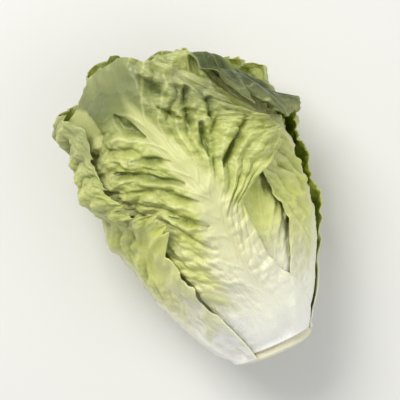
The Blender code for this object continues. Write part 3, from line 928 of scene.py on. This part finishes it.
def standing(angle, station, radius):
    """Turns angle, station and radius into x, y and z over the surface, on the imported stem's own axis."""
    low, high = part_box("stem")
    up = radius * np.cos(angle)
    x = radius * np.sin(angle) + (low[0] + high[0]) / 2.0
    y = station * math.cos(AXIS_TILT) - up * math.sin(AXIS_TILT)
    y = y + low[1] + STEM_CUT_RADIUS * math.sin(AXIS_TILT)
    z = AXIS_HEIGHT + station * math.sin(AXIS_TILT) + up * math.cos(AXIS_TILT)
    return np.stack([x, y, z], axis=-1)


@functools.lru_cache(maxsize=1)
def grown_head(shape):
    """The share of its radius that pressing leaves each part of the head, and every leaf by its name."""
    table = bare_head()
    laid = [lay_leaf(leaf, shape, table) for leaf in reversed(leaf_plan(shape.seed))]
    share = pressed(table)
    rolled = [roll_tip(blade, shape, table) if blade.leaf.fold < 1.0 else blade for blade in laid]
    return share, {blade.leaf.name: pressed_blade(blade, table, share) for blade in rolled}


def add_object(name, data):
    """A new object in the scene."""
    added = bpy.data.objects.new(name, data)
    bpy.context.scene.collection.objects.link(added)
    return added


def signed_volume(points, faces):
    """Volume inside a closed mesh, below 0 where its faces point inwards."""
    corners = points[faces]
    first, second = corners[:, 1] - corners[:, 0], corners[:, 2] - corners[:, 0]
    third = corners[:, 3] - corners[:, 0]
    areas = np.cross(first, second) + np.cross(second, third)
    return (corners[:, 0] * areas).sum() / 6.0


def build_piece(name, points, faces, masks, finish):
    """A smooth closed mesh from its points and four-cornered faces, with the masks that its finish reads."""
    if signed_volume(points, faces) < 0.0:
        faces = faces[:, ::-1]
    data = bpy.data.meshes.new(name)
    data.from_pydata(points.tolist(), [], faces.tolist())
    data.validate()
    for mask, values in masks.items():
        kind, part = ("FLOAT_VECTOR", "vector") if values.ndim == 2 else ("FLOAT", "value")
        channel = data.attributes.new(mask, kind, "POINT")
        channel.data.foreach_set(part, values.astype(np.float32).ravel())
    data.shade_smooth()
    data.materials.append(finish)
    return add_object(name, data)


def blade_faces(columns, rows):
    """Faces of a blade: its inner sheet, its outer sheet and the rim that joins them."""
    number = np.arange(columns * rows).reshape(columns, rows)
    ring = [number[:-1, :-1], number[1:, :-1], number[1:, 1:], number[:-1, 1:]]
    inner = np.stack([corner.ravel() for corner in ring], axis=1)
    outer = inner[:, ::-1] + number.size
    border = np.concatenate([number[:, 0], number[-1, 1:], number[-2::-1, -1], number[0, -2:0:-1]])
    after = np.roll(border, -1)
    rim = np.stack([after, border, border + number.size, after + number.size], axis=1)
    return np.concatenate([inner, outer, rim])


def build_blade(blade, finish):
    """A leaf's piece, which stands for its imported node."""
    leaf = blade.leaf
    points = np.stack([standing(blade.angle, *face) for face in zip(blade.stations, blade.radii)])
    masks = {mask: np.tile(values.ravel(), 2) for mask, values in blade.masks.items()}
    masks["face"] = np.repeat((0.0, 1.0), blade.u.size)
    masks["tone"] = np.full(2 * blade.u.size, np.random.default_rng(leaf.seed("tone")).uniform())
    round_rib, _ = rib_places(leaf, blade.u, np.clip(blade.v, 0.0, 1.0), blade.radii[1])
    apart = np.full_like(round_rib, leaf.order * LEAF_SHIFT)
    flat = np.stack([round_rib, blade.v * (leaf.tip - leaf.base), apart], axis=-1)
    masks["flat"] = np.tile(MILLIMETRES * flat.reshape(-1, 3), (2, 1))
    faces = blade_faces(*blade.u.shape)
    piece = build_piece(f"{leaf.name}_blade", points.reshape(-1, 3), faces, masks, finish)
    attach(piece, "root")
    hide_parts(leaf.name)
    return piece


def turned_grid(turns, rows):
    """Angles round a turned form, and shares of the way from its first row to its last."""
    angle, share = np.arange(turns) * TURN / turns, np.linspace(0.0, 1.0, rows)
    return np.meshgrid(angle, share, indexing="ij")


def turned_faces(turns, rows):
    """Faces of a turned form whose first and last rows each close on the axis."""
    number = np.arange(turns * rows).reshape(turns, rows)
    after = np.roll(number, -1, axis=0)
    return np.stack([number[:, :-1], after[:, :-1], after[:, 1:], number[:, 1:]], axis=-1).reshape(-1, 4)


def build_turned(name, node, angle, station, radius, masks, finish):
    """A piece whose grid of points goes all the way round the axis, its end rows each closed by a fan."""
    points = standing(angle, station, radius).reshape(-1, 3)
    listed = {}
    for mask, values in masks.items():
        listed[mask] = values.reshape(-1, 3) if values.ndim == 3 else values.ravel()
    piece = build_piece(name, points, turned_faces(*angle.shape), listed, finish)
    mesh = bmesh.new()
    mesh.from_mesh(piece.data)
    bmesh.ops.remove_doubles(mesh, verts=mesh.verts[:], dist=WELD)
    mesh.to_mesh(piece.data)
    mesh.free()
    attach(piece, "root")
    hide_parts(node)
    return piece


def build_stem(shape, finish):
    """The stem: a stub with a knife-cut face, a ring of veins in it and scars of trimmed leaves round it."""
    share, _ = grown_head(shape)
    profile = np.array(STEM_PROFILE)
    marks = np.linspace(0.0, 1.0, len(profile))
    angle, along = turned_grid(STEM_TURNS, STEM_ROWS)
    station, radius = np.interp(along, marks, profile[:, 0]), np.interp(along, marks, profile[:, 1])
    on_face = station < WELD
    across = radius / STEM_CUT_RADIUS
    level, upright = radius * np.sin(angle), radius * np.cos(angle)
    strokes = noise(level / STROKE_WIDTH + 20.0, upright / STROKE_LENGTH + 20.0, STROKE_SEED)
    sunk = CUT_RELIEF * (0.5 + 0.5 * strokes + 0.8 * (1.0 - ease(*CUT_HOLLOW, across)))
    sunk = sunk * (1.0 - ease(*CUT_RIM, across))
    scars = noise(angle / TURN * SCARS_ROUND, station / SCAR_SPACING + 3.0, SCAR_SEED)
    scars = scars * ease(STEM_EDGE, STEM_SHOULDER, station)
    radius = radius + STEM_SWELL * ease(*SWELL_START, station) * ease(*SWELL_SIDE, across)
    radius = radius + SCAR_HEIGHT * scars * (1.0 - ease(*SCAR_TOP, station)) * ease(*SCAR_SIDE, across)
    masks = {
        "across": across,
        "vascular": np.exp(-(((across - VEIN_RING) / VEIN_RING_WIDTH) ** 2)) * on_face,
        "cut": on_face.astype(float),
        "flat": MILLIMETRES * np.stack([radius * np.sin(angle), station, radius * np.cos(angle)], axis=-1),
    }
    radius = radius * read_table(share, angle, station)
    return build_turned("stem_stub", "stem", angle, station + sunk * on_face, radius, masks, finish)


def build_core(shape, finish):
    """The tight bud of small leaves in the middle, with their margins as spiral folds."""
    share, _ = grown_head(shape)
    angle, along = turned_grid(CORE_TURNS, CORE_ROWS)
    height = 0.5 - 0.5 * np.cos(math.pi * along)
    station = CORE_START + CORE_INSET + (CORE_END - CORE_START - 2.0 * CORE_INSET) * height
    fold = 0.5 + 0.5 * np.sin(CORE_FOLDS * angle + CORE_FOLD_TWIST * height)
    round_axis = np.sqrt(np.clip(1.0 - (2.0 * height - 1.0) ** 2, 0.0, 1.0))
    crisp = noise(angle / TURN * CORE_CRISPS_ROUND, station / CORE_CRISP_LENGTH, CORE_SEED)
    radius = core_radius(station) + (CORE_FOLD_DEPTH * fold + CORE_CRISP_HEIGHT * crisp) * round_axis
    closed = ease(0.0, CORE_CLOSING, np.minimum(along, 1.0 - along))
    radius = radius * closed * read_table(share, angle, station)
    masks = {
        "along": station / TIP_STATION,
        # Painted shade between the bud's folds
        "crease": 1.0 - fold,
        "flat": MILLIMETRES * np.stack([angle * CORE_GRAIN_RADIUS, station, np.zeros_like(angle)], axis=-1),
    }
    return build_turned("heart_core_bud", "heart_core", angle, station, radius, masks, finish)


class Value:
    """A number or vector that varies over a surface. A sum of such numbers adds its nodes."""

    def __init__(self, finish, socket):
        self.finish = finish
        self.socket = socket

    def __add__(self, other):
        return self.finish.maths("ADD", self, other)

    def __radd__(self, other):
        return self.finish.maths("ADD", other, self)

    def __sub__(self, other):
        return self.finish.maths("SUBTRACT", self, other)

    def __rsub__(self, other):
        return self.finish.maths("SUBTRACT", other, self)

    def __mul__(self, other):
        return self.finish.maths("MULTIPLY", self, other)

    def __rmul__(self, other):
        return self.finish.maths("MULTIPLY", other, self)


class Finish:
    """A material, and what makes the nodes of its colour, gloss and grain."""

    def __init__(self, name, **plain):
        self.material = bpy.data.materials.new(name)
        self.material.use_nodes = True
        self.tree = self.material.node_tree
        self.shader = self.tree.nodes["Principled BSDF"]
        self.done(**plain)

    def feed(self, socket, value):
        """Links a Value to a socket, or sets the socket to a number or a colour."""
        if isinstance(value, Value):
            self.tree.links.new(value.socket, socket)
        elif socket.type == "RGBA":
            socket.default_value = (*value, 1.0)
        else:
            socket.default_value = value

    def node(self, kind, settings, sockets, output=0):
        """Adds a node, with its settings first and then the numbers or links of its sockets."""
        made = self.tree.nodes.new(kind)
        for setting, value in settings.items():
            if setting == "stops":
                self.set_stops(made.color_ramp, value)
            else:
                setattr(made, setting, value)
        for socket, value in sockets.items():
            self.feed(made.inputs[socket], value)
        return Value(self, made.outputs[output])

    def set_stops(self, ramp, stops):
        """Gives a colour ramp its stops, each a place and a colour."""
        while len(ramp.elements) < len(stops):
            ramp.elements.new(1.0)
        for element, (place, colour) in zip(ramp.elements, stops):
            element.position = place
            element.color = (*colour, 1.0)

    def maths(self, operation, *numbers):
        return self.node("ShaderNodeMath", {"operation": operation}, dict(enumerate(numbers)))

    def clamped(self, value):
        return self.node("ShaderNodeClamp", {}, {"Value": value})

    def masks(self, *names):
        return [self.node("ShaderNodeAttribute", {"attribute_name": name}, {}, "Fac") for name in names]

    def place(self):
        """Place on the flat leaf, in millimetres."""
        return self.node("ShaderNodeAttribute", {"attribute_name": "flat"}, {}, "Vector")

    def stretched(self, place, *scale):
        return self.node("ShaderNodeVectorMath", {"operation": "MULTIPLY"}, {0: place, 1: scale})

    def noise(self, place, scale, detail, output="Fac"):
        """Noise with so many lumps to a millimetre on a piece, or to a metre on the floor."""
        sockets = {"Vector": place, "Scale": scale, "Detail": detail}
        return self.node("ShaderNodeTexNoise", {}, sockets, output)

    def net(self, place, scale):
        """0 on the lines of a net of small veins and more between them."""
        drift = self.stretched(self.noise(place, 0.6 * scale, 2.0, "Color"), *(NET_DRIFT,) * 3)
        bent = self.node("ShaderNodeVectorMath", {"operation": "ADD"}, {0: place, 1: drift})
        sockets = {"Vector": bent, "Scale": scale, "Randomness": 0.9}
        return self.node("ShaderNodeTexVoronoi", {"feature": "DISTANCE_TO_EDGE"}, sockets)

    def step(self, value, low, high):
        """0 where a value is below low, 1 where it is above high."""
        settings = {"interpolation_type": "SMOOTHSTEP"}
        return self.node("ShaderNodeMapRange", settings, {"Value": value, "From Min": low, "From Max": high})

    def ramp(self, value, stops):
        return self.node("ShaderNodeValToRGB", {"stops": stops}, {"Fac": value}, "Color")

    def mixed(self, share, first, second, blend="MIX"):
        """Two colours mixed, with the given share of the second."""
        settings = {"data_type": "RGBA", "blend_type": blend, "clamp_factor": True}
        return self.node("ShaderNodeMix", settings, {0: share, 6: first, 7: second}, 2)

    def bump(self, height, distance, under=None):
        """Fine relief, over the normal of an earlier bump where one is given."""
        sockets = {"Height": height, "Distance": distance, "Strength": 1.0}
        if under is not None:
            sockets["Normal"] = under
        return self.node("ShaderNodeBump", {}, sockets)

    def done(self, **sockets):
        """Links or sets the shader's sockets, and gives the material."""
        for socket, value in sockets.items():
            self.feed(self.shader.inputs[socket.replace("_", " ")], value)
        return self.material


def leaf_finish(name, blade_stops, rib_stops, shade, pale, wet):
    """A leaf: a green blade with light veins and blisters, painted shade in its creases and on its inner
    face, painted highlights on its ridges, and a pale fleshy midrib.
    """
    finish = Finish(
        name,
        Subsurface_Weight=0.35,
        Subsurface_Radius=(1.0, 1.1, 0.35),
        Subsurface_Scale=0.0022,
        Specular_IOR_Level=0.45,
        Coat_Weight=wet,
        Coat_Roughness=0.3,
    )
    place = finish.place()
    rib, vein, crease, ridge, blister = finish.masks("rib", "vein", "crease", "ridge", "blister")
    shown, edge, face, tone, along = finish.masks("shown", "edge", "face", "tone", "along")
    patches = finish.noise(place, 0.05, 3.0)
    mottle = finish.noise(place, 0.32, 4.0)
    grain = finish.noise(place, 2.4, 3.0)
    net = finish.step(finish.net(place, 0.42), 0.0, 0.16)
    strands = finish.noise(finish.stretched(place, 1.3, 0.035, 1.0), 1.0, 4.0)

    height = along + 0.10 * (patches - 0.5) + 0.05 * (mottle - 0.5) - 0.04 * tone
    blade = finish.ramp(height, blade_stops)
    blade = finish.mixed(NET_PALENESS * (1 - net) * shown * blister, blade, pale)
    blade = finish.mixed(BLISTER_DARKENING * (blister - 0.35), blade, shade, "MULTIPLY")
    blade = finish.mixed(VEIN_PALENESS * vein, blade, pale)
    # Painted highlights on the ridges and ripples
    blade = finish.mixed(RIDGE_HIGHLIGHT * ridge, blade, pale)
    # Painted shade in the creases and slots
    blade = finish.mixed(finish.clamped(crease), blade, shade, "MULTIPLY")
    blade = finish.mixed(MARGIN_PALENESS * edge * patches, blade, pale)
    blade = finish.mixed(COVERED_PALENESS * (1 - shown), blade, pale)
    flesh = finish.ramp(along + 0.08 * (strands - 0.5), rib_stops)
    streaks = STRAND_PALENESS * finish.step(strands, 0.45, 0.7) * finish.step(along, 0.2, 0.5)
    flesh = finish.mixed(streaks, flesh, pale)
    colour = finish.mixed(finish.step(rib, 0.25, 0.75), blade, flesh)
    # Painted shade on a leaf's inner face, which shows on the rolled flap; less of it at the margin
    inside = (1 - face) * (1 - 0.8 * edge) * shown
    colour = finish.mixed(INNER_FACE_SHADE * inside, colour, shade, "MULTIPLY")
    gloss = 0.40 + 0.16 * (mottle - 0.5) + 0.12 * (grain - 0.5) + 0.06 * rib
    fine = finish.bump(net * (1 - rib) * (0.25 + 0.75 * blister) + 0.4 * grain, BLADE_GRAIN)
    normal = finish.bump(strands * rib, RIB_GRAIN, fine)
    return finish.done(Base_Color=colour, Roughness=finish.clamped(gloss), Normal=normal)


def stem_finish(name, flesh, ring, stain):
    """Cut stem: moist cream flesh, a ring of veins, and the browning of an older cut at its edge."""
    finish = Finish(
        name,
        Subsurface_Weight=0.4,
        Subsurface_Radius=(1.0, 0.9, 0.5),
        Subsurface_Scale=0.003,
        Coat_Weight=0.15,
        Coat_Roughness=0.25,
    )
    place = finish.place()
    mottle = finish.noise(place, 0.35, 4.0)
    grain = finish.noise(place, 1.8, 3.0)
    cut, across, vascular = finish.masks("cut", "across", "vascular")
    dots = finish.step(grain, 0.48, 0.62) * vascular
    colour = finish.mixed(0.5 * mottle, flesh, ring)
    colour = finish.mixed(0.7 * dots, colour, ring)
    colour = finish.mixed(0.45 * finish.step(mottle + 0.35 * across, 0.55, 1.05) * cut, colour, stain)
    colour = finish.mixed(0.3 * (1 - cut) * grain, colour, stain)
    normal = finish.bump(grain + 0.7 * mottle, STEM_GRAIN)
    return finish.done(Base_Color=colour, Roughness=0.38 + 0.2 * mottle, Normal=normal)


def core_finish(name, crown, base, shade):
    """The bud: yellow above and cream below, with painted shade between its folds."""
    finish = Finish(name, Subsurface_Weight=0.4, Subsurface_Radius=(1.0, 0.9, 0.4), Subsurface_Scale=0.003)
    place = finish.place()
    mottle = finish.noise(place, 0.3, 3.0)
    along, crease = finish.masks("along", "crease")
    colour = finish.mixed(finish.step(along + 0.1 * mottle, 0.2, 0.8), base, crown)
    # Painted shade between the folds
    colour = finish.mixed(0.4 * crease, colour, shade, "MULTIPLY")
    normal = finish.bump(mottle, STEM_GRAIN)
    return finish.done(Base_Color=colour, Roughness=0.4 + 0.15 * mottle, Normal=normal)


def area_light(name, place, size, watts, colour):
    """A square light that faces the head."""
    data = bpy.data.lights.new(name, "AREA")
    data.shape = "SQUARE"
    data.size = size
    data.energy = watts
    data.color = colour
    lamp = add_object(name, data)
    lamp.location = place
    lamp.rotation_euler = (HEAD_MIDDLE - Vector(place)).to_track_quat("-Z", "Y").to_euler()


def picture_way(right, up, height):
    """A place over the head, by how far it is to the right and up in the picture, and how high."""
    across = Vector((math.cos(PICTURE_TURN), math.sin(PICTURE_TURN), 0.0))
    along = Vector((-math.sin(PICTURE_TURN), math.cos(PICTURE_TURN), 0.0))
    return tuple(right * across + up * along + Vector((0.0, 0.0, height)))


def build_camera(settings):
    """A camera straight over the head, turned so that the head leans as it does in the picture."""
    data = bpy.data.cameras.new("over_the_head")
    data.sensor_width = SENSOR_WIDTH
    data.lens = SENSOR_WIDTH * (settings.camera_height - HEAD_MIDDLE.z) / settings.view_width
    data.clip_start = 0.05
    camera = add_object("over_the_head", data)
    camera.location = (HEAD_MIDDLE.x, HEAD_MIDDLE.y, settings.camera_height)
    camera.rotation_euler = (0.0, 0.0, PICTURE_TURN)
    bpy.context.scene.camera = camera


def build_floor(settings):
    """A plain pale floor."""
    finish = Finish("pale_floor")
    place = finish.node("ShaderNodeTexCoord", {}, {}, "Object")
    mottle = finish.noise(place, 9.0, 3.0)
    tint = tuple(settings.floor_colour)
    colour = finish.mixed(0.5 * mottle, tint, tuple(0.96 * share for share in tint))
    data = bpy.data.meshes.new("floor")
    half = FLOOR_SIZE / 2.0
    corners = [(-half, -half, 0.0), (half, -half, 0.0), (half, half, 0.0), (-half, half, 0.0)]
    data.from_pydata(corners, [], [(0, 1, 2, 3)])
    data.materials.append(finish.done(Base_Color=colour, Roughness=0.55 + 0.1 * mottle))
    floor = add_object("floor", data)


def build_sky(settings):
    """Soft light from all round."""
    world = bpy.data.worlds.new("soft_studio")
    world.use_nodes = True
    background = world.node_tree.nodes["Background"]
    background.inputs["Color"].default_value = (*SKY_COLOUR, 1.0)
    background.inputs["Strength"].default_value = settings.sky_strength
    bpy.context.scene.world = world


def length_property(name, description, default, low, high):
    return FloatProperty(
        name=name, description=description, default=default, min=low, max=high, unit="LENGTH", precision=5
    )


def power_property(name, description, default):
    return FloatProperty(name=name, description=description, default=default, min=0.0, unit="POWER")


def colour_property(name, description, default):
    return FloatVectorProperty(
        name=name, description=description, default=default, size=3, min=0.0, max=1.0, subtype="COLOR"
    )


class LettuceHeadSettings(PropertyGroup):
    """How the head's leaves are crisped, folded and blistered."""

    seed: IntProperty(name="Seed", description="Draw of the differences between leaves", default=11, min=0)
    fold_height: length_property("Fold height", "Height of the folds between side veins", 0.0046, 0.0, 0.008)
    blister_height: length_property("Blister height", "Height of the small blisters", 0.0008, 0.0, 0.003)
    blister_size: length_property("Blister size", "From one blister to the next", 0.0050, 0.001, 0.02)
    puff_height: length_property("Puff height", "Height of the broad puffs between folds", 0.0014, 0.0, 0.005)
    frill_height: length_property("Frill height", "Height of the crisped margin", 0.0022, 0.0, 0.008)
    vein_height: length_property("Vein height", "Height of the side veins", 0.0005, 0.0, 0.002)
    blade_thickness: length_property("Blade thickness", "Thickness of a blade", 0.0009, 0.0003, 0.003)
    margin_thickness: length_property("Margin thickness", "Thickness of a margin", 0.0005, 0.0002, 0.003)


class LettuceColourSettings(PropertyGroup):
    """The greens of the leaves and the creams of their midribs and the stem."""

    base: colour_property("Leaf base", "Blade close to the stem", linear(217, 220, 138))
    low: colour_property("Low blade", "Blade over its lower third", linear(197, 203, 98))
    middle: colour_property("Middle blade", "Blade at its middle", linear(168, 176, 84))
    top: colour_property("Top blade", "Blade near its tip", linear(106, 115, 72))
    # Darkest green of the outer leaves' tips; on the rolled flap it is partly painted shade
    tip: colour_property("Blade tip", "Dark margin of a blade's tip", linear(70, 80, 42))
    rib_base: colour_property("Midrib base", "Thick foot of a midrib", linear(254, 252, 238))
    rib_low: colour_property("Low midrib", "Midrib over its lower third", linear(222, 220, 176))
    rib_top: colour_property("Midrib tip", "Midrib where it thins", linear(200, 202, 136))
    # Pale of the small veins, margins and covered blade, also used for the painted highlights on ridges
    pale: colour_property("Veins", "Small veins and light margins", linear(214, 217, 146))
    # Tint of the painted shade in creases, slots and inner faces, and of the darker blade between the small
    # veins
    shade: colour_property("Creases", "What creases and inner faces are darkened by", linear(150, 162, 120))
    heart: colour_property("Heart", "Small leaves in the middle", linear(232, 226, 150))
    cut: colour_property("Cut stem", "Fresh cut face of the stem", linear(244, 240, 218))
    ring: colour_property("Stem veins", "Ring of veins in the cut stem", linear(214, 214, 160))
    stain: colour_property("Stem stain", "Browning of the cut stem", linear(222, 204, 160))


class LettuceStageSettings(PropertyGroup):
    """The floor, the lights and the camera."""

    view_width: length_property("View width", "Width of floor that the picture spans", 0.168, 0.05, 1.0)
    camera_height: length_property("Camera height", "Height of the camera over the floor", 0.95, 0.3, 3.0)
    key_watts: power_property("Key light", "Power of the key light", 9.8)
    fill_watts: power_property("Fill light", "Power of the fill light", 2.5)
    sky_strength: FloatProperty(name="Sky", description="Strength of the soft light", default=0.54, min=0.0)
    floor_colour: colour_property("Floor", "Colour of the floor", linear(224, 223, 218))


# The sizes by which the head is grown, one for each of its settings
Shape = namedtuple("Shape", LettuceHeadSettings.__annotations__)


def head_shape():
    """The sizes that the panel gives, in the form that the growth takes."""
    return Shape(*(getattr(bpy.context.scene.lettuce_head, size) for size in Shape._fields))


def chosen(*names):
    """Colours that the panel gives, by their names."""
    return [tuple(getattr(bpy.context.scene.lettuce_colours, name)) for name in names]


def build_leaves(kind):
    """Every leaf of a kind, in the finish of its kind."""
    name, wet, *stops = LEAF_LOOKS[kind]
    coloured = [[(place, *chosen(colour)) for place, colour in row] for row in stops]
    finish = leaf_finish(name, *coloured, *chosen("shade", "pale"), wet)
    leaves = [blade for leaf, blade in grown_head(head_shape())[1].items() if leaf.startswith(kind)]
    if not leaves:
        raise RuntimeError(f"no leaf of the kind {kind} was grown")
    for blade in leaves:
        build_blade(blade, finish)


class LETTUCE_OT_stem(Operator):
    """Add the cut stem"""

    bl_idname = "lettuce.stem"
    bl_label = "Stem"

    def execute(self, context):
        build_stem(head_shape(), stem_finish("stem_cream", *chosen("cut", "ring", "stain")))
        return {"FINISHED"}


class LETTUCE_OT_heart_core(Operator):
    """Add the tight bud in the middle of the heart"""

    bl_idname = "lettuce.heart_core"
    bl_label = "Heart core"

    def execute(self, context):
        build_core(head_shape(), core_finish("heart_bud", *chosen("heart", "rib_base", "shade")))
        return {"FINISHED"}


class LETTUCE_OT_heart_leaves(Operator):
    """Add the small yellow leaves round the bud"""

    bl_idname = "lettuce.heart_leaves"
    bl_label = "Heart leaves"

    def execute(self, context):
        build_leaves("heart_leaf")
        return {"FINISHED"}


class LETTUCE_OT_inner_leaves(Operator):
    """Add the paler leaves that close over the heart"""

    bl_idname = "lettuce.inner_leaves"
    bl_label = "Inner leaves"

    def execute(self, context):
        build_leaves("inner_leaf")
        return {"FINISHED"}


class LETTUCE_OT_outer_leaves(Operator):
    """Add the green outer leaves, with the one whose tip has rolled outwards"""

    bl_idname = "lettuce.outer_leaves"
    bl_label = "Outer leaves"

    def execute(self, context):
        build_leaves("outer_leaf")
        return {"FINISHED"}


class LETTUCE_OT_stage(Operator):
    """Add the floor, the lights and the camera"""

    bl_idname = "lettuce.stage"
    bl_label = "Stage"

    def execute(self, context):
        settings = context.scene.lettuce_stage
        build_camera(settings)
        build_floor(settings)
        build_sky(settings)
        area_light("key", picture_way(*KEY_PLACE), KEY_SIZE, settings.key_watts, KEY_COLOUR)
        area_light("fill", picture_way(*FILL_PLACE), FILL_SIZE, settings.fill_watts, FILL_COLOUR)
        context.scene.view_settings.view_transform = "Standard"
        return {"FINISHED"}


class LETTUCE_PT_head(Panel):
    """Sizes, colours and the steps that build the head"""

    bl_label = "Little gem lettuce"
    bl_space_type = "VIEW_3D"
    bl_region_type = "UI"
    bl_category = "Lettuce"

    def draw(self, context):
        for title, settings in (
            ("Head", context.scene.lettuce_head),
            ("Colours", context.scene.lettuce_colours),
            ("Stage", context.scene.lettuce_stage),
        ):
            box = self.layout.box()
            box.label(text=title)
            for name in settings.__annotations__:
                box.prop(settings, name)
        for step in STEPS:
            self.layout.operator(step.bl_idname)


SETTINGS = {
    "lettuce_head": LettuceHeadSettings,
    "lettuce_colours": LettuceColourSettings,
    "lettuce_stage": LettuceStageSettings,
}
STEPS = (
    LETTUCE_OT_stem,
    LETTUCE_OT_heart_core,
    LETTUCE_OT_heart_leaves,
    LETTUCE_OT_inner_leaves,
    LETTUCE_OT_outer_leaves,
    LETTUCE_OT_stage,
)
CLASSES = (*SETTINGS.values(), *STEPS, LETTUCE_PT_head)


def register():
    for made in CLASSES:
        bpy.utils.register_class(made)
    for name, group in SETTINGS.items():
        setattr(bpy.types.Scene, name, PointerProperty(type=group))


def unregister():
    for name in SETTINGS:
        delattr(bpy.types.Scene, name)
    for made in reversed(CLASSES):
        bpy.utils.unregister_class(made)


def main():
    register()
    bpy.ops.lettuce.stem()
    bpy.ops.lettuce.heart_core()
    bpy.ops.lettuce.heart_leaves()
    bpy.ops.lettuce.inner_leaves()
    bpy.ops.lettuce.outer_leaves()
    bpy.ops.lettuce.stage()


if __name__ == "__main__":
    main()
